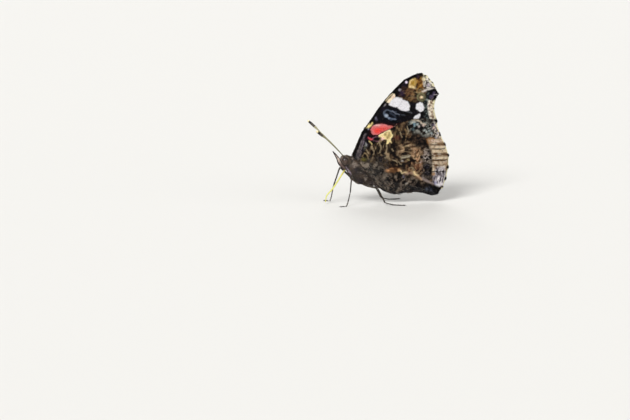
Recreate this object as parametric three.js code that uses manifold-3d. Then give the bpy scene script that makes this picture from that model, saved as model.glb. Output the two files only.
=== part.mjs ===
// Red admiral butterfly, life size, standing with its wings closed over its back and its tongue let down.
// Millimetres, +Z up. It faces -X, its left side is towards -Y, and Z = 0 is the floor under its feet.
import * as THREE from "three";
import { mergeVertices } from "three/addons/utils/BufferGeometryUtils.js";
import Module from "manifold-3d";

const wasm = await Module();
wasm.setup();

// Driving sizes
const WING_THICKNESS = 0.5;
const FOREWING_FROM_MIDDLE = { root: 0.66, tip: 0.44 }; // the wings lean together towards their tips
const WING_SPACING = 0.85; // from the middle of a forewing to the middle of the hindwing outside it
const PART_GAP = 0.3; // thin cut between head, thorax and abdomen
const SEAT_GAP = 0.2; // between a limb or an eye and what it grows from
const JOINT_GAP = 0.4; // kept clear on each side of a knee or an ankle
const FAR = 60; // longer than the whole animal
const SAME_POINT = 1e-5; // vertices closer than this are one

// Body in the side view, X then Z. Angles are measured from +X towards +Z
const degrees = THREE.MathUtils.degToRad;
const THORAX = { centre: [-5.3, 9.8], half: [5.0, 2.5, 4.3], slope: degrees(28) };
const HEAD = { centre: [-9.7, 12.4], half: [1.65, 1.65, 2.1] };
const EYE = { centre: [-10.5, 1.15, 12.75], half: [0.98, 0.8, 1.18], innerFace: 0.75 };
const ABDOMEN = [[-3.5, 8.5], [-0.4, 7.1], [2.6, 5.8], [6.0, 4.4], [9.3, 3.1]];
const ABDOMEN_RADII = [2.0, 2.25, 2.2, 1.55, 0.45];
const NECK_CUT = { point: [-8.55, 11.5], facing: degrees(145) };
const WAIST_CUT = { point: [-1.15, 7.4], facing: degrees(-25) };

// Wings in the side view, X then Z: leading edge, ends of the veins along the outer margin, trailing edge.
// Between two vein ends the margin is scalloped inwards
const FOREWING = {
  hub: [-6.6, 14.1],
  leading: [
    [-8.0, 13.6], [-7.4, 15.6], [-5.4, 20.5], [-3.4, 23.4], [1.1, 29.7], [6.1, 35.0], [8.8, 36.7],
    [12.2, 37.9],
  ],
  veinEnds: [
    [12.2, 37.9], [13.7, 37.2], [15.5, 35.1], [17.2, 31.8], [16.1, 29.8], [15.8, 27.3], [16.8, 23.8],
    [16.5, 20.6], [15.2, 17.8],
  ],
  trailing: [[15.2, 17.8], [10.0, 16.4], [2.7, 14.7], [-2.6, 13.4], [-5.9, 12.9], [-8.0, 13.6]],
  scallop: 0.15,
};
const HINDWING = {
  hub: [-4.6, 12.4],
  leading: [
    [-6.6, 12.6], [-4.3, 15.9], [-0.8, 19.9], [2.3, 21.5], [5.5, 23.2], [9.1, 24.3], [12.9, 24.5],
    [16.4, 24.0],
  ],
  veinEnds: [
    [16.4, 24.0], [17.6, 20.2], [19.1, 17.2], [20.2, 13.9], [20.1, 10.3], [19.4, 6.9], [18.4, 4.3],
    [16.9, 2.5],
  ],
  trailing: [
    [16.9, 2.5], [14.9, 2.1], [12.4, 2.8], [9.1, 3.2], [6.0, 2.9], [4.0, 2.7], [1.7, 3.3], [-0.4, 4.5],
    [-3.4, 8.0], [-5.4, 10.6], [-6.6, 12.6],
  ],
  scallop: 0.25,
};
// Near its root a wing bows out round the thorax, and the hindwing round the abdomen too
const THORAX_BOW = { height: 1.8, reach: 1.25, edge: 4.4 };
const HINDWING_BOW = 1.1; // times the forewing's
const ABDOMEN_BOW = { clearance: 0.62, fade: 0.6 };
const WING_RINGS = 5;
const RING_CROWDING = 1.5; // above 1 the rings crowd towards the root, where a wing bows most
const LEADING_STEPS = 14;
const TRAILING_STEPS = 13;
const SCALLOP_STEPS = 3;

// Limbs, as X, distance from the middle, Z. The left antenna hangs a little lower than the right
const ANTENNAE = {
  left: [[-10.8, 0.6, 14], [-13.6, 3, 16.9], [-16.9, 6.2, 20.1], [-19.1, 8.3, 22], [-20.05, 9.2, 22.8]],
  right: [[-10.8, 0.6, 14], [-13.6, 3, 17.2], [-17, 6.1, 20.6], [-19.1, 8.3, 22.6], [-20.05, 9.2, 23.4]],
};
const ANTENNA_RADII = [0.28, 0.25, 0.25, 0.25, 0.25, 0.25, 0.42, 0.45, 0.2];
const PALP = [[-10.2, 0.5, 10.2], [-11.7, 0.6, 11.8], [-12.6, 0.55, 13.6], [-13.8, 0.45, 15.3]];
const PALP_RADII = [0.35, 0.5, 0.45, 0.4, 0.18];
const TONGUE = [
  [-10.3, 0, 10.0], [-11.8, 0, 7.8], [-13.4, 0, 5.3], [-14.5, 0, 3.9], [-15.7, 0, 2.5], [-16.1, 0, 0.6],
];
const TONGUE_RADII = [0.3, 0.27, 0.25, 0.25];
const FORE_LEG = [[-8.2, 1.3, 7.9], [-9.2, 1.5, 9.4], [-10.2, 1.75, 10.9]];
const FORE_LEG_RADII = [0.35, 0.42, 0.25];
// Hip, knee, ankle and toe of each walking leg. The right middle leg reaches further forward
const WALKING_LEGS = {
  mid_left: { side: -1, joints: [[-6.9, 1.1, 6.4], [-9, 4.4, 9.3], [-9.6, 5.2, 3.9], [-12.6, 6.2, 0.2]] },
  mid_right: { side: 1, joints: [[-6.9, 1.5, 6.2], [-11.3, 3.9, 10.2], [-13, 4.9, 4.6], [-15.6, 6, 0.2]] },
  hind_left: { side: -1, joints: [[-5.2, 1, 5.7], [-1.2, 3.1, 4.8], [0.7, 4.6, 0.75], [6.3, 6.2, 0.2]] },
  hind_right: { side: 1, joints: [[-5.2, 1, 5.7], [-1.2, 3.1, 4.8], [1.1, 4.8, 0.75], [6.7, 6.6, 0.2]] },
};
const FEMUR_RADII = [0.3, 0.42, 0.38, 0.28];
const TIBIA_RADII = [0.26, 0.28, 0.27, 0.25];
const TARSUS_RADII = [0.25, 0.27, 0.28, 0.28, 0.25];
const TARSUS_LANDING = { share: 0.35, rise: 0.12 }; // where the sloping part of the foot meets the floor
const TARSUS_FLAT = 0.7; // share of the foot from where it lies level

const COLOURS = {
  fur: 0x4a3f3c,
  abdomen: 0x3a3331,
  eye: 0x4b3328,
  palp: 0xb9a795,
  tongue: 0xb9b062,
  antenna: 0x6a6240,
  leg: 0x2a241d,
  forewing: 0x23201f,
  hindwing: 0x4b3f35,
};

function vector([x, y, z]) {
  return new THREE.Vector3(x, y, z);
}

// Solids for joining and cutting
function solidOf(geometry) {
  const bare = geometry.clone();
  bare.deleteAttribute("normal");
  bare.deleteAttribute("uv");
  const closed = mergeVertices(bare, SAME_POINT);
  const positions = closed.getAttribute("position").array;
  const triangles = new Uint32Array(closed.index.array);
  return new wasm.Manifold(new wasm.Mesh({ numProp: 3, vertProperties: positions, triVerts: triangles }));
}

function geometryOf(solid) {
  const mesh = solid.getMesh();
  const geometry = new THREE.BufferGeometry();
  geometry.setAttribute("position", new THREE.BufferAttribute(mesh.vertProperties, 3));
  geometry.setIndex(new THREE.BufferAttribute(mesh.triVerts, 1));
  return geometry;
}

function meshGeometry(positions, triangles) {
  const geometry = new THREE.BufferGeometry();
  geometry.setAttribute("position", new THREE.Float32BufferAttribute(positions, 3));
  geometry.setIndex(triangles);
  return geometry;
}

// All that lies in front of the plane through a point, as a very large box
function halfSpace(point, normal) {
  const box = new THREE.BoxGeometry(2 * FAR, 2 * FAR, 2 * FAR);
  const up = new THREE.Vector3(0, 0, 1);
  box.translate(0, 0, FAR);
  box.applyQuaternion(new THREE.Quaternion().setFromUnitVectors(up, vector(normal)));
  box.translate(...point);
  return solidOf(box);
}

function ellipsoid([x, y, z], [a, b, c], { slope = 0, around = 18, down = 12 } = {}) {
  const ball = new THREE.SphereGeometry(1, around, down);
  ball.scale(a, b, c);
  ball.rotateY(slope);
  ball.translate(x, y, z);
  return solidOf(ball);
}

// A value that changes evenly along a list, at a share of its length
function valueAt(values, share) {
  const place = share * (values.length - 1);
  const low = Math.min(Math.floor(place), values.length - 2);
  return THREE.MathUtils.lerp(values[low], values[low + 1], place - low);
}

// A rod along a smooth curve, with flat ends and a radius that changes on the way
function rod(points, radii, { steps = 8, sides = 8, grow = 0 } = {}) {
  const curve = new THREE.CatmullRomCurve3(points.map(vector));
  const frames = curve.computeFrenetFrames(steps);
  const positions = [];
  const triangles = [];
  for (let i = 0; i <= steps; i++) {
    const centre = curve.getPointAt(i / steps);
    const radius = valueAt(radii, i / steps) + grow;
    for (let j = 0; j < sides; j++) {
      const angle = (2 * Math.PI * j) / sides;
      const spot = centre.clone();
      spot.addScaledVector(frames.normals[i], radius * Math.cos(angle));
      spot.addScaledVector(frames.binormals[i], radius * Math.sin(angle));
      positions.push(...spot);
      if (i === steps) continue;
      const here = i * sides + j;
      const next = i * sides + ((j + 1) % sides);
      triangles.push(here, next, here + sides, next, next + sides, here + sides);
    }
  }
  const start = positions.length / 3;
  positions.push(...curve.getPointAt(0), ...curve.getPointAt(1));
  for (let j = 0; j < sides; j++) {
    const next = (j + 1) % sides;
    triangles.push(start, next, j, start + 1, steps * sides + j, steps * sides + next);
  }
  const made = solidOf(meshGeometry(positions, triangles));
  return made.volume() > 0 ? made : solidOf(meshGeometry(positions, triangles.reverse()));
}

function onSide(points, side) {
  return points.map(([x, y, z]) => [x, side * y, z]);
}

// The whole body in one, to be cut into head, thorax and abdomen
function wholeBody(grow) {
  const spread = (half) => half.map((h) => h + grow);
  const middle = ([x, z]) => [x, 0, z];
  const thoraxRounding = { slope: THORAX.slope, around: 24, down: 14 };
  const thorax = ellipsoid(middle(THORAX.centre), spread(THORAX.half), thoraxRounding);
  const head = ellipsoid(middle(HEAD.centre), spread(HEAD.half));
  const abdomen = rod(ABDOMEN.map(middle), ABDOMEN_RADII, { steps: 14, sides: 18, grow });
  return thorax.add(head).add(abdomen);
}

// What lies before a cut (way 1) or behind it (way -1), half a gap away from its plane
function sideOfCut(cut, way) {
  const [x, z] = cut.point;
  const [nx, nz] = [way * Math.cos(cut.facing), way * Math.sin(cut.facing)];
  return halfSpace([x + 0.5 * PART_GAP * nx, 0, z + 0.5 * PART_GAP * nz], [nx, 0, nz]);
}

function eyeball(side, grow) {
  const [x, y, z] = EYE.centre;
  const half = EYE.half.map((h) => h + grow);
  return ellipsoid([x, side * y, z], half, { around: 14, down: 10 });
}

function eyeSolid(side) {
  return eyeball(side, 0).intersect(halfSpace([0, side * EYE.innerFace, 0], [0, side, 0]));
}

const body = wholeBody(0);
const bodyWithClearance = wholeBody(SEAT_GAP);
const head = body.intersect(sideOfCut(NECK_CUT, 1));
const thorax = body.intersect(sideOfCut(NECK_CUT, -1)).intersect(sideOfCut(WAIST_CUT, -1));
const abdomen = body.intersect(sideOfCut(WAIST_CUT, 1));

// How far a wing bows out round the thorax, at a point of the side view
function thoraxBow(x, z) {
  const [dx, dz] = [x - THORAX.centre[0], z - THORAX.centre[1]];
  const along = Math.cos(THORAX.slope) * dx - Math.sin(THORAX.slope) * dz;
  const across = Math.sin(THORAX.slope) * dx + Math.cos(THORAX.slope) * dz;
  const away = Math.hypot(along / THORAX.half[0], across / THORAX.half[2]);
  return THORAX_BOW.height * Math.exp(-((away ** 2 / THORAX_BOW.reach) ** (THORAX_BOW.edge / 2)));
}

function abdomenBow(x, z) {
  const [start, end] = [ABDOMEN[0], ABDOMEN.at(-1)].map(([a, b]) => new THREE.Vector2(a, b));
  const span = end.clone().sub(start);
  const spot = new THREE.Vector2(x, z).sub(start);
  const share = THREE.MathUtils.clamp(spot.dot(span) / span.lengthSq(), 0, 1);
  const radius = valueAt(ABDOMEN_RADII, share);
  const away = spot.addScaledVector(span, -share).length();
  const height = Math.max(0, radius + ABDOMEN_BOW.clearance - FOREWING_FROM_MIDDLE.root - WING_SPACING);
  return height * Math.exp(-ABDOMEN_BOW.fade * (away / radius) ** 2);
}

function forewingStack(z) {
  const [root, tip] = [FOREWING.hub[1], FOREWING.veinEnds[0][1]];
  return THREE.MathUtils.mapLinear(z, root, tip, FOREWING_FROM_MIDDLE.root, FOREWING_FROM_MIDDLE.tip);
}

function forewingMiddle(x, z) {
  return forewingStack(z) + thoraxBow(x, z);
}

function hindwingMiddle(x, z) {
  return forewingStack(z) + WING_SPACING + Math.max(HINDWING_BOW * thoraxBow(x, z), abdomenBow(x, z));
}

// Outline of a wing: splines along its two edges, and a scalloped margin between the vein ends
function outlineOf(wing) {
  const plane = ([x, z]) => new THREE.Vector2(x, z);
  const edge = (points, steps) => {
    const spline = new THREE.SplineCurve(points.map(plane));
    return spline.getSpacedPoints(steps).slice(0, -1);
  };
  const margin = wing.veinEnds.slice(0, -1).flatMap((end, i) => {
    const [a, b] = [plane(end), plane(wing.veinEnds[i + 1])];
    const inwards = plane(wing.hub).sub(a).normalize();
    const bend = a.clone().lerp(b, 0.5).addScaledVector(inwards, 2 * wing.scallop);
    return new THREE.QuadraticBezierCurve(a, bend, b).getPoints(SCALLOP_STEPS).slice(0, -1);
  });
  return [...edge(wing.leading, LEADING_STEPS), ...margin, ...edge(wing.trailing, TRAILING_STEPS)];
}

// A wing plate: a fan of rings about its hub on each face, joined along the outline
function wingSolid(wing, middle, side) {
  const outline = outlineOf(wing);
  const [hubX, hubZ] = wing.hub;
  const count = outline.length;
  const positions = [];
  const triangles = [];
  const put = (x, z, half) => positions.push(x, side * (middle(x, z) + half * WING_THICKNESS), z);
  const triangle = (a, b, c, outwards) => triangles.push(...(outwards ? [a, b, c] : [a, c, b]));
  const rims = [];
  for (const half of [0.5, -0.5]) {
    const first = positions.length / 3;
    const outwards = half * side > 0;
    put(hubX, hubZ, half);
    for (let ring = 1; ring <= WING_RINGS; ring++) {
      const share = (ring / WING_RINGS) ** RING_CROWDING;
      for (const { x, y } of outline) {
        put(THREE.MathUtils.lerp(hubX, x, share), THREE.MathUtils.lerp(hubZ, y, share), half);
      }
    }
    for (let i = 0; i < count; i++) {
      const next = (i + 1) % count;
      triangle(first, first + 1 + i, first + 1 + next, outwards);
      for (let ring = 1; ring < WING_RINGS; ring++) {
        const outer = first + 1 + ring * count;
        const inner = outer - count;
        triangle(inner + i, outer + i, outer + next, outwards);
        triangle(inner + i, outer + next, inner + next, outwards);
      }
    }
    rims.push(first + 1 + (WING_RINGS - 1) * count);
  }
  for (let i = 0; i < count; i++) {
    const next = (i + 1) % count;
    triangle(rims[0] + i, rims[1] + i, rims[1] + next, side > 0);
    triangle(rims[0] + i, rims[1] + next, rims[0] + next, side > 0);
  }
  return solidOf(meshGeometry(positions, triangles));
}

// A straight segment of a leg that stops short of the joints at its ends
function legSegment(from, to, radii, startGap, endGap) {
  const [a, b] = [vector(from), vector(to)];
  const length = a.distanceTo(b);
  const shares = [startGap / length, 0.5, 1 - endGap / length];
  const points = shares.map((share) => a.clone().lerp(b, share).toArray());
  return rod(points, radii, { steps: 4 });
}

// The foot slopes down from the ankle and lies on the floor, where it is cut flat
function tarsusSolid(ankle, toe) {
  const [a, b] = [vector(ankle), vector(toe)];
  const start = a.clone().lerp(b, (0.5 * JOINT_GAP) / a.distanceTo(b));
  const landing = start.clone().lerp(b, TARSUS_LANDING.share).setZ(b.z + TARSUS_LANDING.rise);
  const level = start.clone().lerp(b, TARSUS_FLAT).setZ(b.z);
  const points = [start, landing, level, b].map((p) => p.toArray());
  return rod(points, TARSUS_RADII).intersect(halfSpace([0, 0, 0], [0, 0, 1]));
}

// Assembly
const butterfly = new THREE.Group();

function add(name, solid, colour, roughness = 0.85) {
  const material = new THREE.MeshStandardMaterial({ color: colour, roughness, metalness: 0 });
  const mesh = new THREE.Mesh(geometryOf(solid), material);
  mesh.name = name;
  butterfly.add(mesh);
}

const sockets = eyeball(-1, SEAT_GAP).add(eyeball(1, SEAT_GAP));
const clearOfBody = bodyWithClearance.add(sockets);
const tongueRoom = rod(TONGUE, TONGUE_RADII, { steps: 14, grow: SEAT_GAP });
add("head", head.subtract(sockets), COLOURS.fur);
add("thorax", thorax, COLOURS.fur);
add("abdomen", abdomen, COLOURS.abdomen);
add("tongue", rod(TONGUE, TONGUE_RADII, { steps: 14 }).subtract(clearOfBody), COLOURS.tongue, 0.4);

for (const [sideName, side] of [["left", -1], ["right", 1]]) {
  const palp = rod(onSide(PALP, side), PALP_RADII, { steps: 7 });
  const foreLeg = rod(onSide(FORE_LEG, side), FORE_LEG_RADII, { steps: 5 });
  const antenna = rod(onSide(ANTENNAE[sideName], side), ANTENNA_RADII, { steps: 20 });
  add(`eye_${sideName}`, eyeSolid(side), COLOURS.eye, 0.35);
  add(`palp_${sideName}`, palp.subtract(clearOfBody).subtract(tongueRoom), COLOURS.palp);
  add(`antenna_${sideName}`, antenna.subtract(clearOfBody), COLOURS.antenna);
  add(`leg_fore_${sideName}`, foreLeg.subtract(clearOfBody), COLOURS.leg);
  add(`wing_fore_${sideName}`, wingSolid(FOREWING, forewingMiddle, side), COLOURS.forewing);
  add(`wing_hind_${sideName}`, wingSolid(HINDWING, hindwingMiddle, side), COLOURS.hindwing);
}

for (const [leg, { side, joints }] of Object.entries(WALKING_LEGS)) {
  const [hip, knee, ankle, toe] = onSide(joints, side);
  const femur = legSegment(hip, knee, FEMUR_RADII, 0, JOINT_GAP);
  add(`leg_${leg}_femur`, femur.subtract(clearOfBody), COLOURS.leg);
  add(`leg_${leg}_tibia`, legSegment(knee, ankle, TIBIA_RADII, JOINT_GAP, JOINT_GAP), COLOURS.leg);
  add(`leg_${leg}_tarsus`, tarsusSolid(ankle, toe), COLOURS.leg);
}

export default butterfly;
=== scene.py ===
# Red admiral butterfly, a still model at life size, standing with its wings closed above its back. The head
# points to -X, the left side faces -Y and the floor is at Z = 0. Lists of points are in millimetres.
import math
import bpy
import numpy as np
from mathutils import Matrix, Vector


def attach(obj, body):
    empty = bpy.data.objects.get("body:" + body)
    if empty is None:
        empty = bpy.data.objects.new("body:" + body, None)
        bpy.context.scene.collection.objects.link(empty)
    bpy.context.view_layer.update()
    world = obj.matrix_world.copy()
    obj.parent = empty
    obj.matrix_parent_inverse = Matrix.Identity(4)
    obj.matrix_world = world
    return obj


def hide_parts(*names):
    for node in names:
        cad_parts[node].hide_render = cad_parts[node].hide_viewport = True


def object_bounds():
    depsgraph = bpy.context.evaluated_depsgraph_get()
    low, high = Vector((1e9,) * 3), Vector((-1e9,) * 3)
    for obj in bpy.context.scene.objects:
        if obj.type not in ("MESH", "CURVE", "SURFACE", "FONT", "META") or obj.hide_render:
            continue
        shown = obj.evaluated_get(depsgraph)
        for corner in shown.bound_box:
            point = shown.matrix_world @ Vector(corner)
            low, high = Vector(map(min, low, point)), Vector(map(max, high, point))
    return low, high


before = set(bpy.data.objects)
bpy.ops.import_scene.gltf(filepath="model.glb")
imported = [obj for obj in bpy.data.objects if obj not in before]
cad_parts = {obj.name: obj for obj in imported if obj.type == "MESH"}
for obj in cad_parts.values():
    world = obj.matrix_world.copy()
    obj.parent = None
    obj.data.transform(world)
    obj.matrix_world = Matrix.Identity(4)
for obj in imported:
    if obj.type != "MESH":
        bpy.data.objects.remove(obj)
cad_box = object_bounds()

MM = 0.001
# Each station: how far along it is, how high its middle lies, and half its width and height
BODY_STATIONS = (
    (-11.30, 12.35, 0.25, 0.35), (-11.05, 12.40, 0.62, 1.00), (-10.40, 12.45, 0.92, 1.55),
    (-9.60, 12.25, 1.10, 1.68),
    (-8.95, 11.85, 0.95, 1.35), (-8.55, 11.55, 0.90, 1.20), (-8.15, 11.35, 1.25, 1.80),
    (-7.20, 10.85, 1.70, 2.95),
    (-6.20, 10.30, 1.90, 3.50), (-5.20, 9.75, 1.95, 3.65), (-4.00, 9.10, 1.90, 3.40),
    (-2.80, 8.45, 1.70, 2.75),
    (-1.80, 7.90, 1.45, 2.00), (-1.15, 7.50, 1.35, 1.65), (-0.40, 7.10, 1.60, 1.80),
    (1.00, 6.50, 1.80, 1.95),
    (2.60, 5.80, 1.80, 1.90), (4.40, 5.05, 1.60, 1.65), (6.00, 4.40, 1.25, 1.28), (7.80, 3.70, 0.80, 0.80),
    (8.85, 3.28, 0.40, 0.42), (9.15, 3.16, 0.15, 0.15),
)
BODY_SIDES = 72
NOISE_CELLS = 32
STEPS_PER_STATION = 8
ABDOMEN_START = -0.6
ABDOMEN_RING_LENGTH = 1.35
RING_SWELL = 1.04
RING_WAIST = 0.09
SKIN_UNDER_COAT = 0.55
BODY_BROWN = (104, 86, 69)
PALE_TUFTS = (158, 142, 126)
DARK_TUFTS = (27, 22, 20)
CHEST_BROWN = (74, 62, 50)
CHEST_VIOLET_SHEEN = (42, 33, 50)
REAR_LILAC = (138, 124, 128)
REAR_TUFT = (-2.9, 5.8)
BELLY_GREY = (140, 122, 108)
BACK_BLACK = (36, 30, 26)


def linear(shade):
    """The light a painted colour gives, from its values on a screen between 0 and 255."""
    shade = np.asarray(shade, float) / 255
    return np.where(shade <= 0.04045, shade / 12.92, ((shade + 0.055) / 1.055) ** 2.4)


def unit(rows):
    """Rows of numbers, each made one long."""
    return rows / np.maximum(np.linalg.norm(rows, axis=-1, keepdims=True), 1e-9)


def smooth_route(points, steps):
    """Points on the smooth curve through a list of points, with a number of steps to each stretch."""
    through = np.asarray(points, float)
    through = np.vstack([through[:1], through, through[-1:]])
    t = np.linspace(0, 1, steps, endpoint=False)[:, None]
    bends = []
    for a, b, c, d in zip(through, through[1:], through[2:], through[3:]):
        slope = 0.5 * (c - a)
        sway = a - 2.5 * b + 2 * c - 0.5 * d
        twist = 1.5 * (b - c) + 0.5 * (d - a)
        bends.append(b + slope * t + sway * t**2 + twist * t**3)
    return np.vstack(bends + [through[-1:]])


def noise(points, size, seed):
    """Soft random waves from 0 to 1 over rows of points, about size across."""
    dims = points.shape[1]
    table = np.random.default_rng(seed).random((NOISE_CELLS,) * dims)
    cell = points / size + 100.0
    corner = np.floor(cell).astype(int)
    part = cell - corner
    part = part * part * (3 - 2 * part)
    total = np.zeros(len(points))
    for step in np.ndindex((2,) * dims):
        share = np.prod(np.where(step, part, 1 - part), axis=1)
        total += share * table[tuple(((corner + step) % NOISE_CELLS).T)]
    return total


def patches(points, size, seed, contrast, start):
    """Shares from 0 to 1 that come and go over rows of points in soft patches."""
    return np.clip(noise(points, size, seed) * contrast - start, 0, 1)


def stain(tint, shade, share):
    """Bring rows of colour nearer to one painted shade, each by its own share."""
    tint += (linear(shade) - tint) * np.reshape(share, (-1, 1))


def loft(path, wide, tall, sides):
    """A closed skin round a path: rings half as wide and tall as given, and a point at each end."""
    path = np.asarray(path, float)
    count = len(path)
    wide = np.broadcast_to(wide, count)[:, None, None]
    tall = np.broadcast_to(tall, count)[:, None, None]
    ahead = unit(np.gradient(path, axis=0))
    side = unit(np.cross(ahead, (0.0, 0.0, 1.0)))
    top = np.cross(side, ahead)
    angle = np.linspace(0, 2 * math.pi, sides, endpoint=False)[None, :, None]
    rings = path[:, None] + side[:, None] * np.cos(angle) * wide + top[:, None] * np.sin(angle) * tall
    points = np.vstack([rings.reshape(-1, 3), path[:1], path[-1:]])
    around = np.arange(sides)
    after = (around + 1) % sides
    faces = []
    for ring in range(count - 1):
        low, high = ring * sides, (ring + 1) * sides
        faces += np.stack([low + around, high + around, high + after, low + after], 1).tolist()
    last = (count - 1) * sides
    faces += np.stack([np.full(sides, count * sides), around, after], 1).tolist()
    faces += np.stack([np.full(sides, count * sides + 1), last + after, last + around], 1).tolist()
    return points, faces


def stand(name, data):
    """A new object at the origin of the scene."""
    made = bpy.data.objects.new(name, data)
    bpy.context.scene.collection.objects.link(made)
    return made


def make_piece(name, points, faces, tint, material):
    """An object from points in millimetres, with a colour for each point."""
    mesh = bpy.data.meshes.new(name)
    mesh.from_pydata(np.asarray(points) * MM, [], faces)
    mesh.shade_smooth()
    colours = np.ones((len(points), 4), np.float32)
    colours[:, :3] = tint
    mesh.attributes.new("tint", "FLOAT_COLOR", "POINT").data.foreach_set("color", colours.ravel())
    mesh.materials.append(material)
    return stand(name, mesh)


def wear(piece, slot, *nodes):
    """Fix a finished piece to the body, and let it stand for CAD nodes. Its slot is not used."""
    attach(piece, "root")
    if nodes:
        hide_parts(*nodes)


def add_node(tree, kind, settings=(), **values):
    """A new node of a tree: its settings, then the values of its inputs, named with _ for a space."""
    made = tree.nodes.new(kind)
    for name, value in dict(settings).items():
        setattr(made, name, value)
    for name, value in values.items():
        made.inputs[name.replace("_", " ")].default_value = value
    return made


def wire(tree, *joins):
    """Join nodes of a tree, each join from a node's output to another node's input."""
    for start, outlet, end, inlet in joins:
        tree.links.new(start.outputs[outlet], end.inputs[inlet])


def new_look(name, **values):
    """A new material, its node tree and its shader, whose sockets are named with _ for a space."""
    material = bpy.data.materials.new(name)
    material.use_nodes = True
    shader = material.node_tree.nodes["Principled BSDF"]
    for socket, value in values.items():
        shader.inputs[socket.replace("_", " ")].default_value = value
    return material, material.node_tree, shader


def tinted(name, rough, grain, depth, spread=0.25, gloss=0.3, **more):
    """A material coloured by the piece's tint, broken up and roughened by a grain in millimetres."""
    material, tree, shader = new_look(name, Specular_IOR_Level=gloss, **more)
    where = add_node(tree, "ShaderNodeTexCoord")
    fit = add_node(tree, "ShaderNodeMapping", Scale=[1 / (grain * MM)] * 3)
    grains = add_node(tree, "ShaderNodeTexNoise", Scale=1.0, Detail=4.0)
    tint = add_node(tree, "ShaderNodeAttribute", {"attribute_name": "tint"})
    lighten = add_node(tree, "ShaderNodeMapRange", From_Min=0.3, From_Max=0.7, To_Min=1 - spread,
            To_Max=1 + spread)
    shade = add_node(tree, "ShaderNodeVectorMath", {"operation": "SCALE"})
    polish = add_node(tree, "ShaderNodeMapRange", To_Min=rough - 0.12, To_Max=rough + 0.12)
    bump = add_node(tree, "ShaderNodeBump", Distance=depth * MM, Strength=0.8)
    wire(tree, (where, "Object", fit, "Vector"), (fit, "Vector", grains, "Vector"),
            (grains, "Fac", lighten, "Value"), (grains, "Fac", polish, "Value"),
            (grains, "Fac", bump, "Height"), (tint, "Color", shade, 0), (lighten, "Result", shade, "Scale"),
            (shade, "Vector", shader, "Base Color"), (polish, "Result", shader, "Roughness"),
            (bump, "Normal", shader, "Normal"))
    return material


def body_profile(x):
    """How high the middle of the body lies at places along it, and half its height there."""
    along, middle, _, tall = np.transpose(BODY_STATIONS)
    return np.interp(x, along, middle), np.interp(x, along, tall)


def body_tint(points):
    """Markings of skin and coat: grey-brown, dark on the back, paler below, with a painted violet sheen on
    the chest.
    """
    x, _, z = points.T
    middle, tall = body_profile(x)
    height = np.clip((z - middle) / tall, -1, 1)
    tint = np.tile(linear(BODY_BROWN), (len(points), 1))
    stain(tint, PALE_TUFTS, patches(points, 0.85, 11, 4.2, 2.3) * 0.85)
    stain(tint, DARK_TUFTS, patches(points, 0.95, 12, 4.2, 2.0) * 0.9)
    chest = np.clip(-height * 1.8 - 0.2, 0, 1) * (x < ABDOMEN_START)
    stain(tint, CHEST_BROWN, chest * 0.4)
    # a painted violet sheen, laid in soft patches over the lower chest
    stain(tint, CHEST_VIOLET_SHEEN, chest * patches(points, 1.1, 18, 5, 2.6) * 0.7)
    stain(tint, REAR_LILAC, np.clip(1.5 - np.hypot(x - REAR_TUFT[0], z - REAR_TUFT[1]) / 1.3, 0, 1) * 0.6)
    stain(tint, BELLY_GREY, np.clip(-height * 1.6 - 0.5, 0, 1) * (x > ABDOMEN_START) * 0.7)
    stain(tint, BACK_BLACK, np.clip(height * 1.8 - 0.4, 0, 1) * (x > ABDOMEN_START) * 0.8)
    return tint


stations = smooth_route(BODY_STATIONS, STEPS_PER_STATION)
body_path = np.stack([stations[:, 0], np.zeros(len(stations)), stations[:, 1]], 1)
ring_place = np.clip(body_path[:, 0] - ABDOMEN_START, 0, None) / ABDOMEN_RING_LENGTH
ring_girth = np.where(ring_place > 0, RING_SWELL - RING_WAIST * (1 - ring_place % 1) ** 3, 1.0)
skin_points, skin_faces = loft(body_path, stations[:, 2] * ring_girth, stations[:, 3] * ring_girth,
        BODY_SIDES)
skin_look = tinted("skin of the body", rough=0.55, grain=0.25, depth=0.03)
body_skin = make_piece("body_skin", skin_points, skin_faces, body_tint(skin_points) * SKIN_UNDER_COAT,
        skin_look)
wear(body_skin, "body_fur", "head", "thorax", "abdomen")

# Body coat
# Hair and hair-like scales stand in sockets in the shell and lie back along the body: long and loose on the
# thorax, short and flat on the abdomen. Each is a solid blade grown on its own root, darker there than at
# its tip.
THORAX_HAIRS = 13500
THORAX_REACH = (-8.9, -0.9)
HEAD_HAIRS = 5400
HEAD_END = -8.6
FACE_START = -9.9
FACE_FRONT = -10.3
ABDOMEN_SCALES = 9000
ABDOMEN_COAT_START = -1.6
GREY_HAIR = (186, 171, 158)
BROW_HAIR = (142, 124, 116)
BAKE_PATCH = 0.003
BAKE_MARGIN = 0.02
BODY_FRONT = -11.5
BODY_LENGTH = 21
dice = np.random.default_rng(5)


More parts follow.
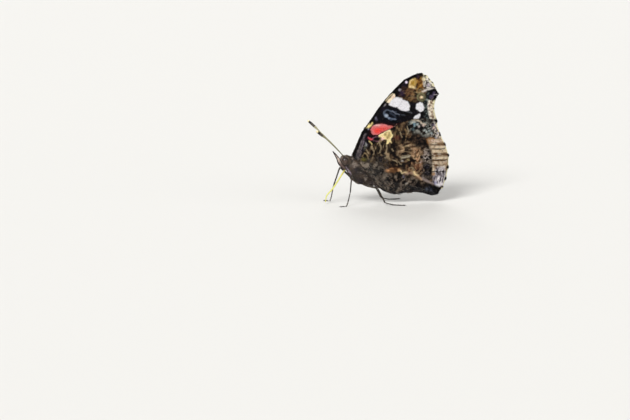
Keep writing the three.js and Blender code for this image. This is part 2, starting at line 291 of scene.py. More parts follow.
def make_coat_tree():
    """Nodes that stand a blade on each root, turned and sized by the root's numbers, as one mesh."""
    tree = bpy.data.node_groups.new("coat", "GeometryNodeTree")
    for name, kind in (("Roots", "Geometry"), ("Blade", "Object"), ("Growth", "Float"),
            ("Finish", "Material")):
        tree.interface.new_socket(name, in_out="INPUT", socket_type="NodeSocket" + kind)
    tree.interface.new_socket("Coat", in_out="OUTPUT", socket_type="NodeSocketGeometry")
    given = add_node(tree, "NodeGroupInput")
    blade = add_node(tree, "GeometryNodeObjectInfo")
    lie = add_node(tree, "GeometryNodeInputNamedAttribute", {"data_type": "QUATERNION"}, Name="lie")
    size = add_node(tree, "GeometryNodeInputNamedAttribute", {"data_type": "FLOAT_VECTOR"}, Name="size")
    grown = add_node(tree, "ShaderNodeVectorMath", {"operation": "SCALE"})
    planted = add_node(tree, "GeometryNodeInstanceOnPoints")
    real = add_node(tree, "GeometryNodeRealizeInstances")
    finish = add_node(tree, "GeometryNodeSetMaterial")
    result = add_node(tree, "NodeGroupOutput")
    wire(tree, (given, "Roots", planted, "Points"), (given, "Blade", blade, "Object"),
            (blade, "Geometry", planted, "Instance"), (lie, "Attribute", planted, "Rotation"),
            (size, "Attribute", grown, 0), (given, "Growth", grown, "Scale"),
            (grown, "Vector", planted, "Scale"), (planted, "Instances", real, "Geometry"),
            (real, "Geometry", finish, "Geometry"), (given, "Finish", finish, "Material"),
            (finish, "Geometry", result, "Coat"))
    return tree


def make_blade(name, points, faces):
    """A blade one long and one wide, lying along X, that knows each point's place along and across."""
    mesh = bpy.data.meshes.new(name)
    mesh.from_pydata(points, [], faces)
    mesh.shade_smooth()
    patch = np.array(points, np.float32)[:, :2]
    mesh.attributes.new("patch", "FLOAT2", "POINT").data.foreach_set("vector", patch.ravel())
    blade = stand(name, mesh)
    blade.hide_render = True
    return blade


coat_tree = make_coat_tree()
hair_blade = make_blade("hair_blade",
        [(0, -0.4, -0.25), (0, 0.4, -0.25), (0, 0, 0.45), (0.55, -0.42, 0.05), (0.55, 0.42, 0.05),
         (0.55, 0, 0.75), (1, 0, -0.7)],
        [(0, 2, 1), (0, 1, 4, 3), (1, 2, 5, 4), (2, 0, 3, 5), (3, 4, 6), (4, 5, 6), (5, 3, 6)])
scale_blade = make_blade("scale_blade",
        [(0, 0, 0), (0.5, -0.48, 0), (1, -0.3, 0), (1, 0.3, 0), (0.5, 0.48, 0), (0.6, 0, 1)],
        [(0, 1, 5), (1, 2, 5), (2, 3, 5), (3, 4, 5), (4, 0, 5), (0, 4, 3, 2, 1)])


def lying(along, up, lift):
    """Turns that lay blades along a direction on a surface, raised from it by an angle in degrees."""
    up = unit(up)
    along = unit(along - up * np.sum(along * up, axis=1, keepdims=True))
    lift = np.radians(np.broadcast_to(lift, len(up)))[:, None]
    ahead = along * np.cos(lift) + up * np.sin(lift)
    top = up * np.cos(lift) - along * np.sin(lift)
    axes = np.stack([ahead, np.cross(top, ahead), top], 2)
    x, y, z = np.diagonal(axes, axis1=1, axis2=2).T
    turn = np.sqrt(np.maximum([1 + x + y + z, 1 + x - y - z, 1 - x + y - z, 1 - x - y + z], 0)) / 2
    for part, (row, column) in enumerate(((2, 1), (0, 2), (1, 0)), 1):
        turn[part] = np.copysign(turn[part], axes[:, row, column] - axes[:, column, row])
    return unit(turn.T)


def sized(length, width, thick):
    """The length, width and thickness of each blade."""
    return np.stack(np.broadcast_arrays(length, width, thick), 1)


def read(items, what, width, kind=np.float32):
    """Numbers kept by a mesh's points, corners or attributes, in rows."""
    rows = np.empty(len(items) * width, kind)
    items.foreach_get(what, rows)
    return rows.reshape(-1, width)


def grow(name, slot, blade, roots, lie, size, tint, spots, look):
    """One coat piece: a blade on every root, with its bake patch at the root's place on the unrolled skin.
    Tips stop at the floor and at the outline of the whole model."""
    field = bpy.data.meshes.new(name + "_roots")
    field.from_pydata(roots * MM, [], [])
    tint = np.column_stack([np.clip(tint, 0, 1), np.ones(len(roots))])
    for label, kind, part, values in (("lie", "QUATERNION", "value", lie),
            ("size", "FLOAT_VECTOR", "vector", size), ("tint", "FLOAT_COLOR", "color", tint),
            ("spot", "FLOAT2", "vector", spots)):
        values = np.ascontiguousarray(values, np.float32)
        field.attributes.new(label, kind, "POINT").data.foreach_set(part, values.ravel())
    bed = stand(name + "_roots", field)
    coat = bed.modifiers.new("coat", "NODES")
    coat.node_group = coat_tree
    items = coat_tree.interface.items_tree
    socket = {item.name: item.identifier for item in items if item.in_out == "INPUT"}
    coat[socket["Blade"]] = blade
    coat[socket["Growth"]] = MM
    coat[socket["Finish"]] = look
    mesh = bpy.data.meshes.new_from_object(bed.evaluated_get(bpy.context.evaluated_depsgraph_get()))
    bpy.data.objects.remove(bed)
    mesh.name = name
    points = np.clip(read(mesh.vertices, "co", 3), *np.array(cad_box, np.float32))
    mesh.vertices.foreach_set("co", points.ravel())
    corners = read(mesh.loops, "vertex_index", 1, np.int32)[:, 0]
    spot = read(mesh.attributes["spot"].data, "vector", 2)
    patch = read(mesh.attributes["patch"].data, "vector", 2)
    place = spot + (patch - (0.5, 0)) * BAKE_PATCH
    mesh.uv_layers.new(name="OFBake").data.foreach_set("uv", place[corners].astype(np.float32).ravel())
    for label in ("spot", "lie", "size"):
        if label in mesh.attributes:
            mesh.attributes.remove(mesh.attributes[label])
    wear(stand(name, mesh), slot)


def coat_look(name, rough, root, tip, sheen=0.1, gloss=0.25):
    """A coat's finish: its own tint, darker at the root, with fine streaks along each blade."""
    material, tree, shader = new_look(name, Specular_IOR_Level=gloss, Roughness=rough, Sheen_Weight=sheen)
    tint = add_node(tree, "ShaderNodeAttribute", {"attribute_name": "tint"})
    patch = add_node(tree, "ShaderNodeAttribute", {"attribute_name": "patch"})
    apart = add_node(tree, "ShaderNodeSeparateXYZ")
    along = add_node(tree, "ShaderNodeMapRange", To_Min=root, To_Max=tip)
    ribs = add_node(tree, "ShaderNodeTexWave", {"bands_direction": "Y"}, Scale=1.6, Distortion=0.6)
    streak = add_node(tree, "ShaderNodeMapRange", To_Min=0.86, To_Max=1.08)
    both = add_node(tree, "ShaderNodeMath", {"operation": "MULTIPLY"})
    shade = add_node(tree, "ShaderNodeVectorMath", {"operation": "SCALE"})
    wire(tree, (patch, "Vector", apart, "Vector"), (apart, "X", along, "Value"),
            (patch, "Vector", ribs, "Vector"), (ribs, "Fac", streak, "Value"), (along, "Result", both, 0),
            (streak, "Result", both, 1), (tint, "Color", shade, 0), (both, "Value", shade, "Scale"),
            (shade, "Vector", shader, "Base Color"))
    return material


def strew(piece, count, wish):
    """Random places on a piece with the way out at each, more of them where wish is higher."""
    mesh = piece.data
    mesh.calc_loop_triangles()
    corners = read(mesh.loop_triangles, "vertices", 3, np.int32)
    points = read(mesh.vertices, "co", 3) / MM
    outward = read(mesh.vertices, "normal", 3)
    a, b, c = (points[corners[:, i]] for i in range(3))
    weight = np.linalg.norm(np.cross(b - a, c - a), axis=1) * wish((a + b + c) / 3)
    pick = dice.choice(len(weight), count, p=weight / weight.sum())
    share = np.sort(dice.random((count, 2)), axis=1)
    share = np.stack([share[:, 0], share[:, 1] - share[:, 0], 1 - share[:, 1]], 1)[:, :, None]
    return (points[corners[pick]] * share).sum(1), unit((outward[corners[pick]] * share).sum(1))


def on_sheet(shares):
    """Places on the bake sheet, clear of its margin, from shares of its width and height."""
    return BAKE_MARGIN + (1 - 2 * BAKE_MARGIN) * shares


def body_spots(points):
    """Where points of the body lie when its skin is unrolled: along it, and round it."""
    x, y, z = points.T
    around = np.arctan2(y, z - body_profile(x)[0]) / (2 * math.pi) + 0.5
    return on_sheet(np.stack([(x - BODY_FRONT) / BODY_LENGTH, around], 1))


fur_look = coat_look("body hair", rough=0.75, root=0.55, tip=1.15)

# Thorax: long loose hair in swirls, with grey tufts
thorax_start, thorax_end = THORAX_REACH
roots, out = strew(body_skin, THORAX_HAIRS,
        lambda p: 1.0 * (p[:, 0] > thorax_start) * (p[:, 0] < thorax_end))
count = len(roots)
swirl = np.stack([noise(roots, 1.6, seed) for seed in (13, 14, 15)], 1) - 0.5
comb = np.array((1.0, 0.0, -0.35)) + swirl * 1.9 + dice.normal(0, 0.22, roots.shape)
length = dice.uniform(0.8, 1.15, count) + 0.6 * noise(roots, 0.9, 16)
nape = np.clip((roots[:, 2] - 11.5) / 1.5, 0, 1)
lift = dice.uniform(15, 29, count) + 12 * nape
tint = body_tint(roots) * dice.uniform(0.65, 1.45, (count, 1))
grey = dice.random(count) < np.clip(noise(roots, 0.75, 19) * 4 - 2.25, 0.03, 0.75)
tint[grey] = linear(GREY_HAIR) * dice.uniform(0.7, 1.2, (grey.sum(), 1))
width = dice.uniform(0.075, 0.115, count)
grow("thorax_hair", "body_fur", hair_blade, roots, lying(comb, out, lift), sized(length, width, width), tint,
        body_spots(roots), fur_look)

# Head: shorter hair, combed up on the face and down under the throat
roots, out = strew(body_skin, HEAD_HAIRS, lambda p: (p[:, 0] < HEAD_END) * (1 + (p[:, 0] < FACE_FRONT)))
count = len(roots)
face = np.clip((FACE_START - roots[:, 0]) / 0.8, 0, 1)[:, None]
comb = np.array((1.0, 0.0, -0.1)) * (1 - face) + np.array((-0.8, 0.0, 0.65)) * face
comb += dice.normal(0, 0.25, roots.shape)
throat = (roots[:, 0] > FACE_START) & (out[:, 2] < -0.3)
comb[throat] += (-0.2, 0.0, -0.9)
length = dice.uniform(0.4, 0.65, count) + 0.3 * face[:, 0] * (roots[:, 2] > 12) + 0.55 * throat
lift = dice.uniform(16, 34, count) + 16 * throat
tint = body_tint(roots) * dice.uniform(0.6, 1.4, (count, 1))
brow = np.clip((-10.55 - roots[:, 0]) / 0.4, 0, 1) * np.clip((roots[:, 2] - 11.8) / 0.6, 0, 1)
stain(tint, BROW_HAIR, brow * 0.6)
width = dice.uniform(0.05, 0.08, count)
grow("head_hair", "body_fur", hair_blade, roots, lying(comb, out, lift), sized(length, width, width), tint,
        body_spots(roots), fur_look)

# Abdomen: flat scales, longer and paler at the end of each ring
roots, out = strew(body_skin, ABDOMEN_SCALES, lambda p: (p[:, 0] > ABDOMEN_COAT_START) * 1.0)
count = len(roots)
comb = np.array((0.93, 0.0, -0.37)) + dice.normal(0, 0.16, roots.shape)
ring_share = ((roots[:, 0] - ABDOMEN_START) / ABDOMEN_RING_LENGTH) % 1
length = dice.uniform(0.34, 0.5, count) + 0.15 * (ring_share > 0.8)
tint = body_tint(roots) * dice.uniform(0.7, 1.3, (count, 1)) * (0.75 + 0.7 * (ring_share > 0.78))[:, None]
lift = dice.uniform(7, 15, count)
grow("abdomen_scales", "abdomen_scales", scale_blade, roots, lying(comb, out, lift),
        sized(length, length * 0.45, 0.03), tint, body_spots(roots), fur_look)

# Eyes
# Each compound eye is a bulging dome of some thousands of small clear lenses over dark pigment, set in the
# side of the head in a socket edged with short pale scales.
import bmesh

EYE_MIDDLE = (-10.5, 1.12, 12.75)
EYE_HALF = (0.94, 0.76, 1.14)
LENS_DIP = 0.972
EYE_HAIRS = 700
EYE_HAIR_WIDTH = 0.022
EYE_BROWN = (72, 52, 42)
EYE_TOP = (32, 22, 20)
EYE_FOOT = (112, 94, 80)
EYE_SPECKS = (20, 14, 13)
EYE_HAIR = (110, 96, 86)

globe = bmesh.new()
bmesh.ops.create_icosphere(globe, subdivisions=5, radius=1.0)
globe.faces.ensure_lookup_table()
lens_tops = np.array([v.co for v in globe.verts])
lens_seams = unit(np.array([f.calc_center_median() for f in globe.faces])) * LENS_DIP
ridges = np.array([[e.verts[0].index, e.verts[1].index, e.link_faces[0].index, e.link_faces[1].index]
                   for e in globe.edges])
globe.free()
lenses = np.vstack([lens_tops, lens_seams])
seams = ridges[:, 2:] + len(lens_tops)
facets = np.vstack([np.column_stack([ridges[:, 0], seams]), np.column_stack([ridges[:, 1], seams])])
a, b, c = (lenses[facets[:, i]] for i in range(3))
facing_in = np.sum(np.cross(b - a, c - a) * a, axis=1) < 0
facets[facing_in] = facets[facing_in][:, ::-1]
eye_tint = np.tile(linear(EYE_BROWN), (len(lenses), 1))
stain(eye_tint, EYE_TOP, np.clip(lenses[:, 2] * 1.2 + 0.2, 0, 1))
stain(eye_tint, EYE_FOOT, np.clip(-lenses[:, 2] * 2 - 1.0, 0, 1) * 0.7)
stain(eye_tint, EYE_SPECKS, patches(lenses, 0.35, 17, 3, 1.7) * 0.6)
eye_look = tinted("eye lenses", rough=0.34, grain=0.5, depth=0.005, spread=0.2, gloss=0.45, Coat_Weight=0.25,
        Coat_Roughness=0.2)
for side, sign in (("left", -1), ("right", 1)):
    points = (lenses * EYE_HALF + EYE_MIDDLE) * (1, sign, 1)
    faces = facets if sign > 0 else facets[:, ::-1]
    eye = make_piece(f"eye_lenses_{side}", points, faces.tolist(), eye_tint, eye_look)
    wear(eye, "eye", f"eye_{side}")
    roots, out = strew(eye, EYE_HAIRS, lambda p: (np.abs(p[:, 1]) > 0.9) * 1.0)
    size = sized(dice.uniform(0.13, 0.2, len(roots)), EYE_HAIR_WIDTH, EYE_HAIR_WIDTH)
    tint = linear(EYE_HAIR) * dice.uniform(0.5, 1.3, (len(roots), 1))
    spots = 0.5 + 0.46 * unit(roots - points.mean(0))[:, (0, 2)]
    comb = np.array((0.7, 0.0, -0.5)) + dice.normal(0, 0.2, roots.shape)
    grow(f"eye_hair_{side}", "eye", hair_blade, roots, lying(comb, out, 56), size, tint, spots, fur_look)

# Palps
# Two jointed feelers that curve up in front of the face like a beak, thick with scales and bristles: dark
# along the front and back, cream along the side.
PALP_PATH = ((-10.2, 0.5, 10.2), (-11.7, 0.6, 11.8), (-12.6, 0.55, 13.6), (-13.8, 0.45, 15.3))
PALP_RADII = (0.26, 0.4, 0.45, 0.4, 0.3, 0.18, 0.05)
PALP_FLATNESS = 0.75
PALP_HAIRS = 1500
CREAM_MIDDLE = 0.56
CREAM_REACH = 0.24
PALP_SKIN = (58, 44, 38)
PALP_BROWN = (128, 104, 96)
PALP_CREAM = (238, 220, 206)
PALP_DARK = (46, 36, 34)


def lengths_along(route):
    """How far along a route each of its points is."""
    return np.concatenate([[0], np.cumsum(np.linalg.norm(np.diff(route, axis=0), axis=1))])


def points_at(lengths, reach, route):
    """Points on a route at given lengths along it."""
    return np.stack([np.interp(lengths, reach, places) for places in route.T], 1)


def along_route(points, values, count):
    """Evenly spaced points on a smooth route, and values given at its points carried along it."""
    fine = smooth_route(points, 24)
    reach = lengths_along(fine)
    path = points_at(np.linspace(0, reach[-1], count), reach, fine)
    return path, np.interp(np.linspace(0, 1, count), np.linspace(0, 1, len(values)), values)


palp_look = tinted("palp skin", rough=0.6, grain=0.2, depth=0.02)
palp_coat = coat_look("palp scales", rough=0.7, root=0.55, tip=1.15)
for side, sign in (("left", -1), ("right", 1)):
    path, thick = along_route(PALP_PATH, PALP_RADII, 40)
    path = path * (1, sign, 1)
    points, faces = loft(path, thick * PALP_FLATNESS, thick, 20)
    palp = make_piece(f"palp_skin_{side}", points, faces, linear(PALP_SKIN), palp_look)
    wear(palp, "palp_scales", f"palp_{side}")
    roots, out = strew(palp, PALP_HAIRS, lambda p: np.ones(len(p)))
    count = len(roots)
    nearest = np.argmin(np.linalg.norm(roots[:, None] - path[None], axis=2), axis=1)
    ahead = unit(np.gradient(path, axis=0))[nearest]
    forward = unit(np.cross(ahead, (0, 1, 0)))
    facing = np.sum(out * forward, axis=1) * np.sign(forward[:, 2])
    share = nearest / len(path)
    tint = np.tile(linear(PALP_BROWN), (count, 1))
    stain(tint, PALP_CREAM, np.clip(1 - np.abs(share - CREAM_MIDDLE) / CREAM_REACH, 0, 1) ** 0.5)
    dark = (np.abs(facing + 0.1) > 0.5) | (share > 0.82) | (out[:, 1] * sign < -0.2)
    tint[dark] = linear(PALP_DARK)
    tint *= dice.uniform(0.7, 1.3, (count, 1))
    length = dice.uniform(0.34, 0.64, count) * (1 - 0.35 * share)
    comb = ahead + dice.normal(0, 0.12, roots.shape)
    width = dice.uniform(0.055, 0.075, count)
    lift = dice.uniform(12, 28, count)
    around = np.arctan2(out[:, 1], facing) / (2 * math.pi) + 0.5
    grow(f"palp_hair_{side}", "palp_scales", hair_blade, roots, lying(comb, out, lift),
            sized(length, width, width), tint, on_sheet(np.stack([share, around], 1)), palp_coat)

# Tongue
# A hollow drinking tube of two long halves zipped edge to edge, ringed all along so that it can coil, let
# down here to feed. It is bare, waxy and yellow-green.
TONGUE_PATH = ((-10.3, 0, 10.2), (-11.8, 0, 7.8), (-13.4, 0, 5.3), (-14.5, 0, 3.9), (-15.7, 0, 2.5),
        (-16.1, 0, 0.6))
TONGUE_RADII = (0.27, 0.25, 0.24, 0.23, 0.22, 0.2, 0.14)
TONGUE_RINGS = 90
TONGUE_SIDES = 28
TONGUE_TIP = 0.6
TONGUE_DROP = 9.6
ZIP_WIDTH = 0.035
ZIP_DEPTH = 0.22
TONGUE_YELLOW = (206, 204, 108)
TONGUE_ROOT = (176, 150, 62)
TONGUE_END = (140, 128, 50)

path, thick = along_route(TONGUE_PATH, TONGUE_RADII, TONGUE_RINGS * 3 + 1)
thick = thick * np.where(np.arange(len(path)) % 3 == 0, 0.9, 1.0)
points, faces = loft(path, thick, thick, TONGUE_SIDES)
middle = np.vstack([np.repeat(path, TONGUE_SIDES, axis=0), path[:1], path[-1:]])
away = points - middle
groove = np.exp(-((away[:, 1] / ZIP_WIDTH) ** 2)) * ZIP_DEPTH
points = middle + away * (1 - groove[:, None])
share = np.clip((points[:, 2] - TONGUE_TIP) / TONGUE_DROP, 0, 1)
tint = np.tile(linear(TONGUE_YELLOW), (len(points), 1))
stain(tint, TONGUE_ROOT, np.clip(share * 4 - 3.2, 0, 1))
stain(tint, TONGUE_END, np.clip(0.25 - share * 2, 0, 1))
tint *= (1 - groove * 2)[:, None]
tongue_look = tinted("waxy tongue", rough=0.42, grain=0.3, depth=0.008, spread=0.12, gloss=0.45,
        Subsurface_Weight=0.15, Subsurface_Scale=0.0002)
wear(make_piece("tongue_tube", points, faces, tint, tongue_look), "tongue", "tongue")

# Antennae
# Each feeler is a stalk of some forty short joints, dark with a ring of white scales at the foot of each,
# swelling to a flattened black club with a pale tip. It stands in a round socket between the eyes.
ANTENNA_PATHS = {
    "left": ((-10.8, -0.6, 14.0), (-13.6, -3.0, 16.9), (-16.9, -6.2, 20.1), (-19.1, -8.3, 22.0),
        (-20.02, -9.17, 22.78)),
    "right": ((-10.8, 0.6, 14.0), (-13.6, 3.0, 17.2), (-17.0, 6.1, 20.6), (-19.1, 8.3, 22.6),
        (-20.02, 9.17, 23.38)),
}
ANTENNA_RADII = (0.18,) + (0.125,) * 11 + (0.17, 0.29, 0.36, 0.37, 0.34, 0.3)
ANTENNA_JOINTS = 42
STEPS_PER_JOINT = 6
ANTENNA_SIDES = 18
ANTENNA_TIP = 0.978
JOINT_FLARE = 0.14
CLUB_START = 0.80
CLUB_TIP = 0.962
STALK_OLIVE = (60, 54, 38)
STALK_RINGS = (188, 182, 140)
CLUB_BLACK = (20, 16, 15)
CLUB_RINGS = (120, 108, 92)
CLUB_CREAM = (226, 212, 168)
SOCKET_BROWN = (50, 40, 34)
SOCKET_RADII = (0.26, 0.32, 0.2)


def join(parts):
    """Several lists of points and faces as one."""
    faces, start = [], 0
    for some_points, some_faces in parts:
        faces += [[start + corner for corner in face] for face in some_faces]
        start += len(some_points)
    return np.vstack([part[0] for part in parts]), faces


antenna_look = tinted("antenna", rough=0.5, grain=0.08, depth=0.01, spread=0.2)
for side, ends in ANTENNA_PATHS.items():
    count = ANTENNA_JOINTS * STEPS_PER_JOINT + 1
    share = np.linspace(0, 1, count)
    step = (np.arange(count) % STEPS_PER_JOINT) / STEPS_PER_JOINT
    path, thick = along_route(ends, ANTENNA_RADII, count)
    rounding = np.clip((share - ANTENNA_TIP) / (1 - ANTENNA_TIP), 0, 0.99)
    thick = thick * (1 + JOINT_FLARE * step * (rounding == 0)) * np.sqrt(1 - rounding**2)
    points, faces = loft(path, thick * 0.92, thick, ANTENNA_SIDES)
    shade = np.tile(linear(STALK_OLIVE), (count, 1))
    shade[step < 0.34] = linear(STALK_RINGS)
    shade *= np.interp(share, (0, 0.35, 0.8), (0.45, 0.8, 1.0))[:, None]
    shade[share > CLUB_START] = linear(CLUB_BLACK)
    shade[(share > CLUB_START) & (share < 0.9) & (step < 0.2)] = linear(CLUB_RINGS)
    shade[share > CLUB_TIP] = linear(CLUB_CREAM)
    tint = np.vstack([np.repeat(shade, ANTENNA_SIDES, axis=0), shade[:1], shade[-1:]])
    tint *= 0.8 + 0.4 * noise(points, 0.12, 19)[:, None]
    y = ends[0][1]
    socket_path = ((-10.62, y * 0.95, 13.72), (-10.72, y, 13.88), (-10.8, y, 14.0))
    socket = loft(socket_path, SOCKET_RADII, SOCKET_RADII, ANTENNA_SIDES)
    tint = np.vstack([tint, np.tile(linear(SOCKET_BROWN), (len(socket[0]), 1))])
    points, faces = join([(points, faces), socket])
    wear(make_piece(f"antenna_{side}_stalk", points, faces, tint, antenna_look), "antenna",
         f"antenna_{side}")

# Legs
# Four walking legs of horny tubes, thigh, shin and a foot of five short joints with two claws, dark olive
# and set with scales and spines. The first pair is folded against the chest as two brushes of hair and isn't
# walked on.
WALKING_LEGS = {
    "mid_left": ((-6.9, -1.1, 6.4), (-9.0, -4.4, 9.3), (-9.6, -5.2, 3.9), (-12.6, -6.2, 0.13)),
    "mid_right": ((-6.9, 1.5, 6.2), (-11.3, 3.9, 10.2), (-13.0, 4.9, 4.6), (-15.6, 6.0, 0.13)),
    "hind_left": ((-5.2, -1.0, 5.7), (-1.2, -3.1, 4.8), (0.7, -4.6, 0.75), (6.3, -6.2, 0.13)),
    "hind_right": ((-5.2, 1.0, 5.7), (-1.2, 3.1, 4.8), (1.1, 4.8, 0.75), (6.7, 6.6, 0.13)),
}
HIP_RADII = (0.3, 0.42, 0.4, 0.3)
THIGH_RADII = (0.22, 0.3, 0.31, 0.27, 0.22)
SHIN_RADII = (0.2, 0.19, 0.18, 0.17, 0.18, 0.2)
FOOT_JOINT_RADII = (0.08, 0.105, 0.12, 0.135, 0.09)
FOOT_JOINT_PLACES = (0, 0.1, 0.75, 0.95, 1)
FOOT_SHARES = (0.0, 0.42, 0.6, 0.74, 0.86, 1.0)
LANDING_HEIGHT = 0.27
FOOT_HEIGHT = 0.145
SOLE = 0.012
CLAW_RADII = np.linspace(0.05, 0.015, 13)
SPUR_RADII = (0.05, 0.04, 0.012)
LEG_SIDES = 16
SPINE_WIDTH = 0.05
LEG_SCALES = 1300
LEG_OLIVE = (42, 35, 27)
FOOT_OLIVE = (50, 42, 31)
CLAW_BLACK = (26, 20, 16)
SPUR_BROWN = (40, 32, 24)
SPINE_BROWN = (40, 32, 25)
SCALE_OLIVE = (112, 96, 72)
FORELEG = ((-8.2, 1.3, 7.9), (-9.2, 1.5, 9.4), (-10.2, 1.75, 10.9))
FORELEG_RADII = (0.16, 0.24, 0.26, 0.2, 0.08)
FORELEG_HAIRS = 900
FORELEG_SKIN = (52, 42, 40)
FORELEG_PALE = (176, 158, 168)
FORELEG_DARK = (50, 40, 42)


def limb(start, end, radii, count=24):
    """A straight length of leg with its girth changing along it, rounded off at its ends."""
    share = np.linspace(0, 1, count)[:, None]
    path = start * (1 - share) + end * share
    thick = np.interp(share[:, 0], np.linspace(0, 1, len(radii)), radii)
    return path, thick * np.sqrt(np.clip(1 - (np.abs(share[:, 0] * 2 - 1) ** 14), 0.1, 1))


class WalkingLeg:
    """The lengths, claws and spurs of one leg as they are put together, and the spines set in it."""

    def __init__(self):
        self.parts, self.tints, self.middles, self.ways, self.spines = [], [], [], [], []

    def add(self, path, wide, tall, sides, shade):
        self.parts.append(loft(path, wide, tall, sides))
        self.tints.append(np.tile(linear(shade), (len(self.parts[-1][0]), 1)))

    def add_length(self, path, thick, flat, shade, spine_spacing, spine_length, spine_spread):
        """One jointed length, with rows of spines along it that point down it."""
        self.add(path, thick * flat, thick, LEG_SIDES, shade)
        self.middles.append(path)
        self.ways.append(np.gradient(path, axis=0))
        reach = np.linalg.norm(path[-1] - path[0])
        ahead = unit(path[-1] - path[0])
        side = unit(np.cross(ahead, (0.3, 0.2, 1.0)))
        top = np.cross(side, ahead)
        for place in np.arange(spine_spacing, reach - spine_spacing / 2, spine_spacing):
            for angle in dice.random(5) * 2 * math.pi:
                out = side * math.cos(angle) + top * math.sin(angle)
                at = path[0] + ahead * (place + spine_spacing * 0.5 * dice.random())
                girth = np.interp(place / reach, np.linspace(0, 1, len(thick)), thick)
                spread = girth + spine_length * spine_spread
                lowest = at[2] + out[2] * spread + ahead[2] * spine_length * 1.3
                if lowest > 0.03:
                    size = (spine_length * dice.uniform(0.7, 1.3), SPINE_WIDTH, SPINE_WIDTH)
                    self.spines.append((at + out * girth * 0.9, ahead, out, size))


def leg_spots(roots):
    """Where points of the legs lie on one sheet, seen from the side and a little from above."""
    x, y, z = roots.T
    return on_sheet(np.stack([(x + 17) / 25, (z + y * 0.3 + 3) / 16], 1))


def between(start, end, share):
    """The point at a share of the way from one point to another."""
    return start + (end - start) * share


leg_look = tinted("leg shell", rough=0.5, grain=0.12, depth=0.012, spread=0.25)
spine_look = coat_look("leg spines", rough=0.55, root=0.8, tip=1.1)
spines, leg_coats = [], []
for name, joints in WALKING_LEGS.items():
    hip, knee, ankle, toe = np.array(joints)
    build = WalkingLeg()
    inward = np.array((-0.1, -0.55 * np.sign(hip[1]), 0.9))
    for start, end, radii in ((hip + inward, between(hip, knee, 0.04), HIP_RADII), (hip, knee, THIGH_RADII),
            (knee, ankle, SHIN_RADII)):
        build.add_length(*limb(start, end, radii), 0.85, LEG_OLIVE, 0.3, 0.26, 0.3)

    # foot of five joints, which lands and then lies along the floor
    landing = between(ankle, toe, 0.35)
    landing[2] = LANDING_HEIGHT
    level = between(ankle, toe, 0.7)
    level[2] = FOOT_HEIGHT
    route = smooth_route((between(ankle, toe, 0.02), landing, level, toe), 30)
    reach = lengths_along(route)
    for start, end in zip(FOOT_SHARES, FOOT_SHARES[1:]):
        path = points_at(np.linspace(start, end, 16) * reach[-1], reach, route)
        thick = np.interp(np.linspace(0, 1, 16), FOOT_JOINT_PLACES, FOOT_JOINT_RADII)
        build.add_length(path, thick, 1.0, FOOT_OLIVE, 0.16, 0.2, 0.25)

    # two claws at the toe, and two spurs where the shin ends
    tip = toe - unit(toe - level) * 0.06
    ahead = unit((toe - level) * (1, 1, 0))
    across = np.array((-ahead[1], ahead[0], 0))
    for way in (-1, 1):
        claw = (tip, tip + ahead * 0.18 + across * way * 0.08 + (0, 0, 0.06),
                tip + ahead * 0.34 + across * way * 0.14,
                tip + ahead * 0.38 + across * way * 0.16 - (0, 0, 0.09))
        build.add(smooth_route(claw, 4), CLAW_RADII, CLAW_RADII, 8, CLAW_BLACK)
    spur = between(ankle, knee, 0.04)
    down = unit(toe - knee)
    for way in (-1, 1):
        spread = np.array((0.0, 0.14 * way, -0.1))
        path = (spur, spur + down * 0.2 + spread, spur + down * 0.42 + spread * 1.3)
        build.add(path, SPUR_RADII, SPUR_RADII, 8, SPUR_BROWN)

    points, faces = join(build.parts)
    points[:, 2] = np.maximum(points[:, 2], SOLE)
    tint = np.vstack(build.tints) * (0.7 + 0.5 * noise(points, 0.4, 27)[:, None])
    leg = make_piece(f"leg_{name}", points, faces, tint, leg_look)
    wear(leg, "leg", f"leg_{name}_femur", f"leg_{name}_tibia", f"leg_{name}_tarsus")
    roots, out = strew(leg, LEG_SCALES, lambda p: (p[:, 2] > 0.16) * 1.0)
    nearest = np.argmin(np.linalg.norm(roots[:, None] - np.vstack(build.middles)[None], axis=2), axis=1)
    leg_coats.append((roots, out, np.vstack(build.ways)[nearest]))
    spines += build.spines

# spines of all four legs, then the scales between them
roots, ways, out, size = (np.array(part) for part in zip(*spines))
tint = linear(SPINE_BROWN) * dice.uniform(0.6, 1.5, (len(roots), 1))
grow("leg_spines", "leg", hair_blade, roots, lying(ways, out, 34), size, tint, leg_spots(roots), spine_look)

roots, out, ways = (np.vstack(part) for part in zip(*leg_coats))
count = len(roots)
ways = unit(ways) + dice.normal(0, 0.15, ways.shape)
tint = np.tile(linear(LEG_OLIVE), (count, 1))
stain(tint, SCALE_OLIVE, patches(roots, 0.45, 28, 3, 1.2))
tint = tint * dice.uniform(0.6, 1.4, (count, 1))
size = sized(dice.uniform(0.13, 0.18, count), 0.07, 0.012)
grow("leg_scales", "leg", scale_blade, roots, lying(ways, out, 8.0), size, tint, leg_spots(roots),
     spine_look)

